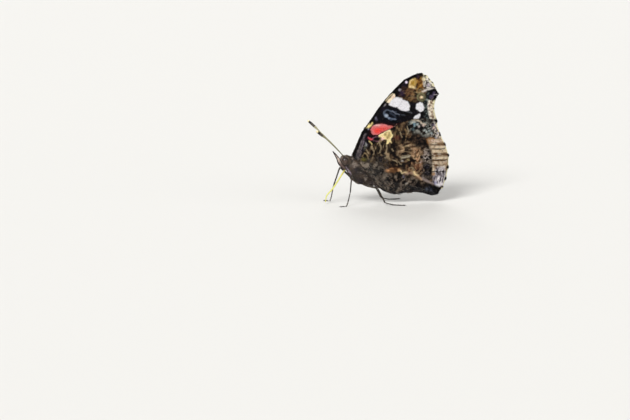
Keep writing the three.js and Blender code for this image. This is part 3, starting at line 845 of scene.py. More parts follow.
# folded forelegs
foreleg_coat = coat_look("foreleg hair", rough=0.7, root=0.5, tip=1.2)
for side, sign in (("left", -1), ("right", 1)):
    path, thick = along_route(FORELEG, FORELEG_RADII, 30)
    path = path * (1, sign, 1)
    points, faces = loft(path, thick * 0.8, thick, LEG_SIDES)
    foreleg = make_piece(f"foreleg_{side}", points, faces, linear(FORELEG_SKIN), leg_look)
    wear(foreleg, "leg", f"leg_fore_{side}")
    roots, out = strew(foreleg, FORELEG_HAIRS, lambda p: np.ones(len(p)))
    count = len(roots)
    comb = unit(path[-1] - path[0]) + dice.normal(0, 0.15, roots.shape)
    length = dice.uniform(0.35, 0.65, count)
    edge = np.abs(out[:, :1] * 0.8 + out[:, 2:] * 0.5) > 0.6
    tint = np.where((dice.random((count, 1)) < 0.75) & ~edge, linear(FORELEG_PALE), linear(FORELEG_DARK))
    tint = tint * dice.uniform(0.75, 1.25, (count, 1))
    lift = dice.uniform(12, 28, count)
    spots = np.stack([0.1 + 0.8 * (roots[:, 2] - 7.5) / 4,
            0.5 + 0.48 * np.arctan2(out[:, 0], out[:, 1]) / math.pi], 1)
    grow(f"foreleg_hair_{side}", "leg", hair_blade, roots, lying(comb, out, lift), sized(length, 0.06, 0.06),
            tint, spots, foreleg_coat)

# Wings
# Two pairs of stiff membranes, folded together over the back, fore wings inside and hind wings outside. Each
# is a thin sheet ribbed by hollow veins, hinged at the thorax, and its colours are all in the scales that
# cover it.
from mathutils.geometry import delaunay_2d_cdt

SHEET_HALF = 0.06
SHEET_GRID = 0.2
FRINGE = 0.55
SHOULDER_HEIGHT = 14.1
TIP_HEIGHT = 37.9
SHOULDER_STAND = 0.66
TIP_STAND = 0.44
WING_SPACING = 0.85
THORAX_MIDDLE = (-5.3, 9.8)
THORAX_HALF = (5.0, 4.3)
THORAX_SLOPE = math.radians(28)
BOW_HEIGHT = 1.8
HIND_BOW = 1.1
ABDOMEN_LINE = ((-3.5, 8.5), (9.3, 3.1))
ABDOMEN_RADII = (2.0, 2.25, 2.2, 1.55, 0.45)
ABDOMEN_CLEARANCE = 0.62
OUTWARD_NUDGE = 0.12
INWARD_NUDGE = 0.15


def wing_stack(z):
    """How far a fore wing stands from the middle plane at a height, as the wings lean together."""
    share = (z - SHOULDER_HEIGHT) / (TIP_HEIGHT - SHOULDER_HEIGHT)
    return SHOULDER_STAND + share * (TIP_STAND - SHOULDER_STAND)


def thorax_bow(x, z):
    """How far a fore wing bows out round the thorax."""
    dx, dz = x - THORAX_MIDDLE[0], z - THORAX_MIDDLE[1]
    along = np.cos(THORAX_SLOPE) * dx - np.sin(THORAX_SLOPE) * dz
    across = np.sin(THORAX_SLOPE) * dx + np.cos(THORAX_SLOPE) * dz
    away = np.hypot(along / THORAX_HALF[0], across / THORAX_HALF[1])
    return BOW_HEIGHT * np.exp(-((away**2 / 1.25) ** 2.2))


def abdomen_bow(x, z):
    """How far a hind wing bows out round the abdomen."""
    (start_x, start_z), (end_x, end_z) = ABDOMEN_LINE
    run_x, run_z = end_x - start_x, end_z - start_z
    share = np.clip(((x - start_x) * run_x + (z - start_z) * run_z) / (run_x**2 + run_z**2), 0, 1)
    off = np.hypot(x - start_x - share * run_x, z - start_z - share * run_z)
    radius = np.interp(share, np.linspace(0, 1, len(ABDOMEN_RADII)), ABDOMEN_RADII)
    height = np.maximum(0, radius + ABDOMEN_CLEARANCE - SHOULDER_STAND - WING_SPACING)
    return height * np.exp(-0.6 * (off / radius) ** 2)


def fore_away(x, z):
    """How far the middle of a fore wing stands from the middle plane, a little towards the hind wing."""
    return wing_stack(z) + thorax_bow(x, z) + OUTWARD_NUDGE


def hind_away(x, z):
    """The same for a hind wing, a little towards the fore wing."""
    bow = np.maximum(HIND_BOW * thorax_bow(x, z), abdomen_bow(x, z))
    return wing_stack(z) + WING_SPACING + bow - INWARD_NUDGE


def from_line(places, route):
    """How far places are from a line of straight stretches."""
    nearest = np.full(len(places), 1e9)
    for start, end in zip(route, route[1:]):
        run = end - start
        share = np.clip(((places - start) @ run) / max(run @ run, 1e-12), 0, 1)
        nearest = np.minimum(nearest, np.linalg.norm(places - start - share[:, None] * run, axis=1))
    return nearest


def covers(places, outline):
    """Which places a closed outline goes round."""
    inside = np.zeros(len(places), bool)
    for (x0, z0), (x1, z1) in zip(outline, np.roll(outline, -1, axis=0)):
        if z0 != z1:
            crossed = (places[:, 1] > z0) != (places[:, 1] > z1)
            inside ^= crossed & (places[:, 0] < x0 + (places[:, 1] - z0) / (z1 - z0) * (x1 - x0))
    return inside


def within(places, outline):
    """How far places lie inside a closed outline, less than nothing outside it."""
    off = from_line(places, np.vstack([outline, outline[:1]]))
    return np.where(covers(places, outline), off, -off)


def smooth_ring(outline):
    """A closed outline with its corners rounded a little."""
    for _ in range(2):
        after = np.roll(outline, -1, axis=0)
        outline = np.stack([outline * 0.8 + after * 0.2, outline * 0.2 + after * 0.8], 1).reshape(-1, 2)
    return outline


def turned(places, turn, stretch=1.0):
    """Places measured along and across a direction given in degrees, drawn together along it."""
    turn = math.radians(turn)
    along = (places[:, 0] * math.cos(turn) + places[:, 1] * math.sin(turn)) / stretch
    across = places[:, 1] * math.cos(turn) - places[:, 0] * math.sin(turn)
    return np.stack([along, across], 1)


class Markings:
    """Colours laid mark over mark at places on a wing. Edges waver, as rows of scales make them."""

    def __init__(self, places, ground, seed):
        self.places = places
        drift, rough = (np.stack([noise(places, size, seed + i), noise(places, size, seed + i + 1)], 1) - 0.5
                        for size, i in ((0.6, 0), (0.16, 2)))
        self.wavering = places + drift * 0.26 + rough * 0.14
        self.tint = np.tile(linear(ground), (len(places), 1))

    def lay(self, shade, cover, near=slice(None)):
        self.tint[near] += (linear(shade) - self.tint[near]) * np.clip(cover, 0, 1)[:, None]

    def darken(self, share):
        self.tint *= 1 - share[:, None]

    def near(self, points, margin):
        low, high = points.min(0) - margin, points.max(0) + margin
        return np.flatnonzero(np.all((self.places > low) & (self.places < high), axis=1))

    def area(self, outline, soft=0.9):
        """How far each place belongs to a part of the wing, from 0 to 1, for use as a mask."""
        outline = np.asarray(outline, float)
        near = self.near(outline, soft)
        mask = np.zeros(len(self.places))
        mask[near] = np.clip(within(self.wavering[near], outline) / soft * 0.5 + 0.5, 0, 1)
        return mask

    def patch(self, shade, outline, soft=0.12, cover=1.0):
        outline = np.asarray(outline, float)
        near = self.near(outline, soft + 0.5)
        depth = within(self.wavering[near], smooth_ring(outline))
        self.lay(shade, cover * (depth / soft * 0.5 + 0.5), near)

    def line(self, shade, route, width, soft=0.1, cover=1.0):
        route = smooth_route(route, 6) if len(route) > 2 else np.asarray(route, float)
        near = self.near(route, width + soft + 0.5)
        depth = width / 2 - from_line(self.wavering[near], route)
        self.lay(shade, cover * (depth / soft * 0.5 + 0.5), near)

    def dot(self, shade, centre, radius, soft=0.12, cover=1.0, flat=1.0, turn=0.0):
        centre = np.asarray(centre, float)
        near = self.near(centre[None], radius + soft + 0.5)
        along, across = turned(self.wavering[near] - centre, turn).T
        self.lay(shade, cover * ((radius - np.hypot(along, across / flat)) / soft * 0.5 + 0.5), near)

    def lines(self, *rows):
        """Several lines, each a row of its shade, route, width, softness and cover."""
        for row in rows:
            self.line(*row)

    def dots(self, *rows):
        """Several dots, each a row of its shade, centre, radius, softness, cover, flatness and turn."""
        for row in rows:
            self.dot(*row)

    def mottle(self, shades, size, seed, mask=1.0, turn=0.0, stretch=1.0, contrast=2.4):
        """Marbling: shades from dark to light by waves of three sizes, drawn out along one direction."""
        lain = turned(self.wavering, turn, stretch)
        waves = ((0.58, 1.0), (0.3, 0.5), (0.12, 0.25))
        level = sum(share * noise(lain, size * part, seed + i) for i, (share, part) in enumerate(waves))
        level = np.clip((level - 0.5) * contrast + 0.5, 0, 1) * (len(shades) - 1)
        rows = linear(shades)
        step = np.minimum(level.astype(int), len(shades) - 2)
        shade = rows[step] + (rows[step + 1] - rows[step]) * (level - step)[:, None]
        self.tint += (shade - self.tint) * np.broadcast_to(mask, len(level))[:, None]

    def scribble(self, shade, width, size, seed, mask=1.0, turn=0.0, stretch=1.0, cover=0.9):
        """Fine winding lines of one shade, about size apart, drawn out along one direction."""
        lain = turned(self.places, turn, stretch)
        level = 0.75 * noise(lain, size, seed) + 0.25 * noise(lain, size * 0.4, seed + 1)
        depth = width / 2 - np.abs(level - 0.5) * size * 0.9
        gap = patches(self.places, 0.9, seed + 2, 6, 2.3)
        self.lay(shade, np.clip(depth / 0.1 + 0.5, 0, 1) * mask * gap * cover)


BLACK = (8, 7, 8)
WHITE = (230, 228, 231)


def marks_below_red(cloth):
    """Purple lines, black dots and a cream line that cross from the fore wing to the hind wing."""
    cloth.lines(
        ((122, 82, 100), [(-2.6, 18.9), (-1.7, 19.4), (-0.8, 19.4)], 0.22),
        ((134, 92, 106), [(-2.4, 18.5), (-1.5, 18.1), (-0.7, 18.3)], 0.22))
    cloth.dots(
        ((10, 8, 9), (-1.1, 18.85), 0.5), ((10, 8, 9), (-2.1, 17.9), 0.45))
    cloth.line((222, 202, 136), [(-3.5, 18.2), (-3.1, 17.9), (-2.7, 17.3)], 0.3)


def red_band(cloth):
    """The red band near the middle of the front edge, and the broken pink marks below it."""
    cloth.patch((36, 10, 13), [(-3.7, 21.2), (-2.6, 23.4), (0, 23.7), (3.2, 23.5), (4.9, 22.5), (3.4, 21.2),
            (0.4, 20.0), (-2.2, 19.2), (-3.7, 20.0)], soft=0.35, cover=0.9)
    cloth.patch((218, 124, 124), [(-3.1, 21.4), (-2.75, 22.3), (-2.2, 22.85), (-1, 23.15), (0.4, 23.1),
            (2, 22.8), (3.2, 22.4), (3.8, 22.1), (3.1, 21.7), (2.1, 21.5), (0.5, 20.8), (-1, 19.95),
            (-2.1, 19.95), (-2.9, 20.6)])
    cloth.patch((232, 88, 80), [(-2.5, 21.6), (-1.5, 22.0), (0.2, 22.3), (1.8, 22.1), (2.3, 21.8),
            (1.0, 21.2), (-0.6, 20.5), (-1.9, 20.4)], soft=0.45)
    cloth.dots(
        ((250, 74, 64), (-1.1, 21.15), 0.6, 0.6), ((232, 178, 174), (-1.2, 22.85), 1.0, 0.35, 0.8, 0.28, 4))
    cloth.line((208, 104, 88), [(2.6, 22.3), (3.7, 22.05)], 0.4, soft=0.25)
    cloth.patch((206, 82, 92), [(-3.95, 19.7), (-3.3, 19.2), (-2.3, 19.05), (-2.4, 18.6), (-3.2, 18.45),
            (-3.7, 18.9)])
    cloth.dot((10, 8, 9), (-3.9, 18.1), 0.35, flat=1.6)
    marks_below_red(cloth)


def fore_root(cloth):
    """The root, with lilac streaks along the front edge."""
    cloth.patch((38, 30, 38), [(-8.2, 12), (-7.2, 15.4), (-5.4, 19.8), (-4.4, 20.4), (-3.6, 18), (-3, 12)],
            soft=0.5)
    cloth.lines(
        ((106, 97, 100), [(-7.5, 13.2), (-7.0, 14.4), (-6.3, 16.2), (-5.5, 18.4), (-4.8, 20.2)], 0.65, 0.25),
        ((146, 134, 144), [(-7.0, 14.6), (-6.4, 16.4), (-5.8, 18.2)], 0.16, 0.15, 0.8),
        ((72, 65, 68), [(-6.8, 13.2), (-6.3, 14.8), (-5.6, 16.8), (-5.0, 18.6)], 0.4, 0.25, 0.8),
        ((136, 122, 136), [(-6.3, 14.2), (-5.8, 15.6), (-5.3, 17.2), (-5.1, 18.2)], 0.16),
        ((18, 14, 22), [(-5.9, 14.2), (-5.1, 16.6), (-4.5, 18.6), (-4.0, 20.4)], 0.4))
    for spot in ((-6.9, 14.9), (-6.45, 16.1), (-6.0, 17.3), (-5.5, 18.6)):
        cloth.dot((34, 24, 38), spot, 0.2, soft=0.2, cover=0.85, flat=1.5)
    cloth.dots(
        ((166, 166, 166), (-4.4, 17.2), 0.26, 0.25, 1.0, 1.8),
        ((96, 96, 82), (-4.7, 16.2), 0.3, 0.3, 1.0, 1.6))


def fore_front_spots(cloth):
    """Cream and lilac spots on the front edge, and the red band."""
    cloth.patch((246, 224, 150), [(-4.4, 21.7), (-3.95, 22.5), (-3.2, 23.7), (-2.15, 23.7), (-2.5, 22.9),
            (-3.3, 22.0)])
    cloth.dots(
        ((150, 144, 164), (-3.7, 21.75), 0.3, 0.2, 1.0, 0.6),
        ((124, 120, 138), (-1.7, 25.0), 0.34, 0.3, 0.9), ((100, 94, 116), (-1.3, 24.5), 0.25, 0.25, 0.6),
        ((160, 154, 158), (0.95, 28.55), 0.42, 0.4, 1.0, 0.6, 40),
        ((178, 170, 180), (5.55, 33.0), 0.3, 0.25), ((32, 25, 40), (0.5, 27.5), 0.7, 0.6),
        ((32, 25, 40), (6.7, 34.2), 0.6, 0.6))
    red_band(cloth)
    cloth.dot((240, 208, 202), (4.05, 22.25), 0.28)
    cloth.lines(
        ((206, 150, 140), [(3.4, 22.1), (4.0, 22.2), (4.5, 23.1)], 0.18),
        ((150, 128, 112), [(4.2, 22.0), (3.7, 21.3)], 0.18))
    cloth.patch((62, 14, 18), [(4.7, 22.3), (4.9, 23.2), (6.1, 23.2), (5.8, 22.3)], soft=0.3)


def blue_ring(cloth):
    """The broken blue ring in the black field."""
    cloth.patch((9, 12, 21), [(-0.2, 24.0), (0.2, 27.4), (3, 28.0), (5.6, 27), (5.6, 24.2), (3, 23.5)],
            soft=0.9)
    cloth.lines(
        ((104, 114, 130), [(1.0, 25.6), (0.75, 26.2), (1.1, 26.9), (2.0, 27.2), (3.0, 26.85)], 0.24, 0.22),
        ((112, 126, 148), [(1.1, 26.1), (1.35, 25.5), (1.8, 25.0), (2.5, 24.65), (3.3, 24.5), (4.2, 24.5)],
         0.3, 0.3))
    cloth.dots(
        ((172, 184, 200), (1.5, 25.5), 0.42, 0.3), ((150, 164, 186), (2.3, 24.75), 0.3, 0.3, 1.0, 0.6),
        ((112, 122, 140), (3.9, 24.5), 0.35, 0.3, 1.0, 0.6))
    cloth.lines(
        ((70, 80, 98), [(2.6, 26.3), (3.4, 25.9), (4.2, 25.2)], 0.2, 0.25, 0.8),
        ((132, 140, 156), [(3.1, 27.0), (3.8, 26.6), (4.3, 26.1), (5.3, 25.8)], 0.2, 0.16),
        ((84, 92, 110), [(3.5, 26.95), (4.5, 26.6)], 0.13, 0.15),
        ((76, 80, 88), [(6.0, 25.7), (7.0, 25.5)], 0.18, 0.2),
        ((96, 98, 104), [(7.6, 26.5), (8.5, 26.4), (8.9, 26.3)], 0.2, 0.2))


def white_bar(cloth):
    """The white bar, then the two white spots towards the corner."""
    cloth.patch((250, 230, 198), [(1.3, 29.6), (1.9, 30.5), (2.9, 31.2), (4.0, 32.0), (4.25, 31.3),
            (3.4, 30.2), (2.4, 29.2)])
    cloth.patch(WHITE, [(2.2, 28.9), (2.9, 29.8), (3.8, 30.7), (4.5, 31.0), (5.5, 30.8), (6.4, 30.2),
            (6.0, 29.0), (4.7, 27.9), (3.6, 28.05), (2.6, 28.4)])
    cloth.patch(WHITE, [(6.0, 30.3), (7.2, 29.9), (8.0, 29.3), (8.4, 28.3), (8.3, 27.4), (7.9, 26.7),
            (6.8, 26.8), (5.6, 27.2), (4.6, 27.9), (5.2, 29.2)])
    cloth.lines(
        ((190, 184, 190), [(6.2, 30.0), (5.5, 28.8), (4.9, 28.0)], 0.14, 0.14, 0.8),
        ((206, 200, 200), [(4.3, 30.7), (3.7, 29.6), (3.2, 28.3)], 0.12, 0.14, 0.6),
        ((214, 208, 214), [(7.2, 29.7), (6.6, 28.4), (6.2, 27.1)], 0.1, 0.12, 0.5))
    cloth.dot((206, 178, 166), (3.5, 31.0), 0.4, soft=0.35, cover=0.6)
    cloth.patch(WHITE, [(10.5, 29.1), (11.4, 29.35), (12.2, 29.1), (12.35, 28.5), (12.75, 27.8),
            (12.5, 26.9), (11.6, 26.45), (10.7, 26.8), (10.15, 27.6), (10.1, 28.4)])
    cloth.patch(WHITE, [(9.5, 24.55), (9.8, 25.3), (10.5, 25.8), (11.6, 26.2), (11.5, 25.2), (11.0, 24.5),
            (10.2, 24.3)])
    cloth.line((236, 222, 200), [(10.8, 24.3), (11.6, 23.75), (12.4, 23.35), (13.3, 23.1)], 0.34)


def brown_corner(cloth):
    """The brown corner, with its cream, chestnut and pale patches and its eye spot."""
    brown = cloth.area([(5.6, 31.0), (6.4, 33.2), (8.4, 33.9), (12.8, 33.6), (13.2, 30.8), (10.2, 29.9),
            (8.4, 30.2)])
    cloth.mottle([(16, 10, 11), (46, 31, 23), (96, 66, 44), (142, 104, 68)], 0.6, 31, brown, turn=30,
            stretch=1.8)
    cloth.scribble((26, 19, 16), 0.16, 0.7, 230, brown, turn=40, stretch=2.0)
    cloth.scribble((150, 120, 80), 0.13, 0.8, 233, brown, turn=25, stretch=2.2, cover=0.7)
    cloth.dots(
        ((98, 70, 48), (8.3, 32.2), 0.9, 0.9, 0.7, 0.7), ((38, 26, 58), (6.1, 32.0), 0.7, 0.5, 0.85))
    cloth.line((112, 98, 76), [(8.8, 31.1), (10.2, 30.6)], 0.35, soft=0.3, cover=0.7)
    cloth.patch((210, 182, 116), [(8.0, 33.5), (8.2, 35.6), (9.2, 36.3), (10.3, 36.5), (10.2, 33.4)],
            soft=0.2)
    cloth.patch((180, 140, 52), [(8.7, 34.2), (8.8, 35.3), (9.8, 36.0), (10.0, 34.2)], soft=0.4)
    cloth.dots(
        ((112, 84, 30), (8.95, 34.7), 0.25, 0.2, 0.9), ((150, 118, 40), (9.5, 35.3), 0.22, 0.2, 0.7))
    cream = cloth.area([(7.9, 33.4), (8.1, 35.7), (9.2, 36.4), (10.4, 36.6), (10.3, 33.3)], soft=0.2)
    cloth.scribble((168, 128, 60), 0.14, 0.7, 236, cream, turn=70, stretch=1.6, cover=0.7)
    cloth.lines(
        ((252, 230, 186), [(8.3, 33.9), (9.2, 33.7), (10.1, 33.5)], 0.3, 0.25, 0.8),
        ((240, 214, 160), [(8.3, 34.2), (8.4, 35.4), (9.2, 36.0)], 0.25, 0.2, 0.7))
    chestnut = cloth.area([(10.1, 33.2), (10.2, 36.4), (11.2, 36.9), (12.5, 36.4), (12.8, 33.4),
            (11.4, 32.9)], soft=0.4)
    cloth.mottle([(38, 23, 15), (98, 62, 28), (142, 98, 44), (190, 150, 78)], 0.45, 33, chestnut, turn=70,
            stretch=2.0)
    cloth.scribble((40, 26, 18), 0.14, 0.6, 239, chestnut, turn=-30, stretch=1.6, cover=0.8)
    pale = cloth.area([(12.5, 33.1), (12.1, 36.3), (12.8, 37.1), (14.1, 36.4), (15.2, 34.7), (15.5, 33.3),
            (14.0, 33.1)], soft=0.3)
    cloth.mottle([(74, 66, 60), (140, 132, 124), (204, 197, 186), (242, 236, 224)], 0.35, 35, pale, turn=-52,
            stretch=2.6)
    cloth.scribble((70, 60, 56), 0.12, 0.55, 242, pale, turn=38, stretch=2.0, cover=0.8)
    cloth.dots(
        ((232, 216, 156), (12.5, 36.0), 0.4, 0.35, 0.8), ((204, 190, 204), (13.8, 34.2), 0.4, 0.3, 0.7))
    cloth.lines(
        ((222, 214, 206), [(12.0, 32.3), (12.8, 32.7), (13.8, 33.0), (15.4, 33.15)], 0.36, 0.2),
        ((150, 136, 96), [(9.9, 32.2), (10.8, 32.6), (12.0, 33.2)], 0.2, 0.2, 0.7),
        ((190, 172, 130), [(10.3, 32.15), (11.4, 32.1), (12.4, 32.3)], 0.18, 0.12, 0.8))
    cloth.dot((44, 42, 32), (11.7, 30.8), 1.25, soft=0.35)
    cloth.lines(
        ((148, 142, 104), [(12.9, 30.9), (12.4, 31.7), (11.5, 31.8), (10.8, 31.3), (10.7, 30.4)], 0.3, 0.25),
        ((124, 122, 92), [(12.9, 30.6), (12.4, 29.9), (11.5, 29.75), (10.9, 30.1)], 0.26, 0.25, 0.9))
    cloth.dots(
        ((120, 96, 62), (11.7, 30.75), 0.62, 0.3), ((244, 224, 184), (11.9, 30.8), 0.42, 0.3))
    for spot in ((12.5, 37.35), (13.5, 36.75), (14.4, 35.7), (15.3, 34.3)):
        cloth.dot((246, 238, 196), spot, 0.42, soft=0.2)


def fore_margin(cloth):
    """The dark band, then the pale lines that edge the wing."""
    band = cloth.area([(12.9, 24.0), (13.0, 31.6), (13.7, 32.6), (14.5, 32.2), (14.2, 29.6), (13.9, 27),
            (14.5, 24.0)], soft=0.5)
    cloth.mottle([(8, 9, 11), (22, 29, 32), (52, 63, 65), (132, 140, 134)], 0.4, 37, band)
    cloth.dot((128, 142, 138), (13.4, 30.0), 0.26, soft=0.25, cover=0.8)
    cloth.patch((10, 8, 9), [(14.2, 32.5), (15.2, 33.2), (17.4, 33.2), (17.4, 30.2), (15.6, 29.6),
            (14.6, 30.2)], soft=0.2)
    cloth.lines(
        ((98, 86, 114), [(14.5, 30.8), (15.2, 31.3), (15.5, 31.9)], 0.5, 0.35, 0.9),
        ((186, 176, 178), [(15.5, 31.4), (16.2, 31.45), (16.9, 31.65)], 0.18, 0.12),
        ((112, 100, 104), [(14.6, 29.9), (15.1, 30.6)], 0.3, 0.2))
    cloth.patch((186, 158, 130), [(14.3, 29.9), (15.2, 29.7), (15.2, 28), (15.2, 26.4), (15.6, 24.2),
            (14.8, 24.0), (14.3, 26), (14.1, 28)], soft=0.15)
    cloth.lines(
        ((236, 228, 222), [(14.2, 29.7), (13.9, 28.6), (13.9, 27.2), (14.2, 25.6), (14.8, 24.1)], 0.5),
        ((244, 238, 186), [(15.6, 29.5), (15.45, 28.2), (15.55, 26.6), (15.9, 24.9), (16.2, 24.4)], 0.7))
    strip = cloth.area([(13.7, 29.9), (16.0, 29.7), (16.2, 24.2), (14.3, 24.0), (13.6, 27.0)], soft=0.3)
    cloth.mottle([(52, 40, 34), (150, 124, 100), (232, 220, 196), (248, 242, 224)], 0.3, 39, strip * 0.6,
            turn=80, stretch=1.4)
    for tick in ((15.0, 30.1), (14.75, 29.1), (15.35, 28.7), (14.6, 28.3), (15.4, 27.4), (14.65, 27.4),
            (14.75, 26.5), (15.3, 26.1), (14.9, 25.6), (15.1, 24.8), (15.6, 25.3), (14.2, 26.9),
            (13.8, 28.0)):
        cloth.dot((44, 32, 28), tick, 0.15, soft=0.15, cover=0.85, flat=0.7)
    cloth.dot((10, 8, 8), (16.6, 23.8), 0.6)
    cloth.line((228, 222, 180), [(16.9, 23.0), (17.3, 21.5)], 0.5)


def fore_front_edge(cloth):
    """The black front edge out to the tip."""
    cloth.lines(
        ((9, 8, 9), [(-8.0, 13.6), (-7.4, 15.6), (-5.4, 20.5), (-4.5, 21.9)], 1.1),
        ((9, 8, 9), [(-3.4, 23.5), (1.1, 29.7), (6.1, 35.0), (8.8, 36.8), (10.4, 37.5)], 1.0),
        ((9, 8, 9), [(8.2, 36.2), (9.4, 36.9), (10.8, 37.4), (12.2, 37.5)], 1.1, 0.2))
    cloth.dots(
        ((48, 36, 56), (10.8, 36.75), 0.35, 0.3, 0.8), ((232, 218, 236), (7.3, 35.2), 0.36))
    cloth.lines(
        ((240, 220, 180), [(1.35, 29.9), (2.3, 31.0), (3.3, 31.9)], 0.3, 0.15, 0.9),
        ((236, 220, 160), [(-4.35, 22.1), (-3.5, 23.3)], 0.3, 0.15, 0.9))


def paint_forewing(places):
    """Under side of a fore wing."""
    cloth = Markings(places, BLACK, seed=21)
    x, z = places.T
    cloth.mottle([(6, 5, 6), (11, 9, 12), (22, 19, 26)], 1.2, 23)
    cloth.lay((60, 50, 46), np.clip((19.0 - z) / 1.5, 0, 1) * (x > -4) * 0.8)
    for paint in (fore_root, fore_front_spots, blue_ring, white_bar, brown_corner, fore_margin,
            fore_front_edge):
        paint(cloth)
    return cloth.tint


# Fields of marbling: the outline, shades from dark to light, the size of the grain, how the grain is turned
# and drawn out, and the shades of its light and dark scribbles
MARBLED_FIELDS = (
    ([(-7, 12.8), (-4, 13.8), (-1, 13), (1, 10.5), (0.8, 6), (0, 3.4), (-4.6, 7), (-6.5, 10)],
     [(12, 10, 10), (38, 31, 28), (70, 60, 52), (136, 123, 108)], 0.5, 50, 1.7, (164, 150, 134),
     (14, 11, 12)),
    ([(-6.2, 13.4), (-4.4, 16.2), (-1.2, 19.8), (2.0, 17.6), (3.2, 14), (1, 11), (-2, 12.6)],
     [(6, 5, 5), (17, 12, 10), (40, 29, 21), (84, 66, 48)], 0.6, 66, 1.9, (166, 142, 110), (8, 7, 7)),
    ([(5, 13.2), (5.4, 17.4), (8, 18), (10.4, 16.6), (10.2, 13.6), (7, 12.6)],
     [(42, 31, 24), (106, 80, 59), (150, 119, 88), (194, 164, 128)], 0.5, 12, 2.8, (200, 176, 140),
     (18, 13, 11)),
    ([(3.4, 18), (3.8, 22.4), (8.4, 23.9), (9.4, 20.6), (9.6, 18)],
     [(10, 8, 8), (32, 23, 18), (60, 43, 31), (100, 77, 55)], 0.6, 80, 2.0, (140, 114, 82), (10, 8, 8)),
    ([(10, 16.2), (9.4, 19.2), (10.4, 21), (13.2, 19.8), (14, 18.2), (13.4, 16.6)],
     [(7, 6, 7), (11, 9, 10), (24, 19, 18), (54, 41, 34)], 0.6, 0, 1.0, (74, 58, 46), (7, 6, 7)),
    ([(7.6, 9.2), (7.6, 13), (9.6, 15.8), (12.2, 15.4), (12.4, 9.4), (10.2, 8.6)],
     [(20, 13, 11), (70, 43, 30), (124, 82, 54), (188, 146, 110)], 0.55, 62, 1.8, (206, 168, 128),
     (16, 10, 9)),
    ([(12.2, 8), (12, 16), (14.4, 16.2), (15.2, 12), (15, 7.8)],
     [(8, 7, 8), (20, 16, 16), (54, 44, 38), (146, 132, 118)], 0.45, 20, 1.5, (172, 156, 142), (8, 7, 8)),
    ([(-1, 8.8), (4.5, 8.9), (10, 7.4), (13, 5.4), (9, 3.2), (3, 2.6), (-1.6, 5)],
     [(8, 7, 8), (28, 23, 21), (54, 45, 41), (116, 101, 88)], 0.5, 62, 1.6, (160, 144, 126), (9, 8, 9)),
    ([(8.2, 20.6), (8.4, 24.6), (12.8, 24.8), (15.4, 22.2), (15.0, 19.6), (12.8, 19.8), (10.8, 21.0)],
     [(6, 6, 7), (9, 10, 11), (22, 26, 28), (130, 134, 128)], 0.34, 25, 1.3, (196, 196, 184), (6, 6, 7)),
    ([(14.6, 19.4), (14.8, 23.6), (16.4, 24.2), (17.8, 20.2), (18.4, 18.6), (15.2, 18.5)],
     [(8, 7, 8), (18, 15, 18), (72, 66, 68), (216, 204, 190)], 0.34, 60, 1.5, (232, 218, 200), (8, 7, 8)),
)


def marbled_fields(cloth):
    """The marbling, field by field: each with a grain and shades of its own."""
    for outline, shades, size, turn, stretch, light, dark in MARBLED_FIELDS:
        seed = int(outline[0][0] * 10) + 200
        part = cloth.area(outline)
        cloth.mottle(shades, size * 1.1, seed, part, turn, stretch, contrast=4.0)
        cloth.scribble(dark, 0.2, 0.95, seed + 5, part, turn, stretch * 1.5)
        cloth.scribble(light, 0.17, 1.1, seed + 8, part, turn, stretch * 1.8, cover=0.85)
        cloth.scribble(dark, 0.18, 0.75, seed + 11, part, turn + 60, stretch * 1.3, cover=0.85)


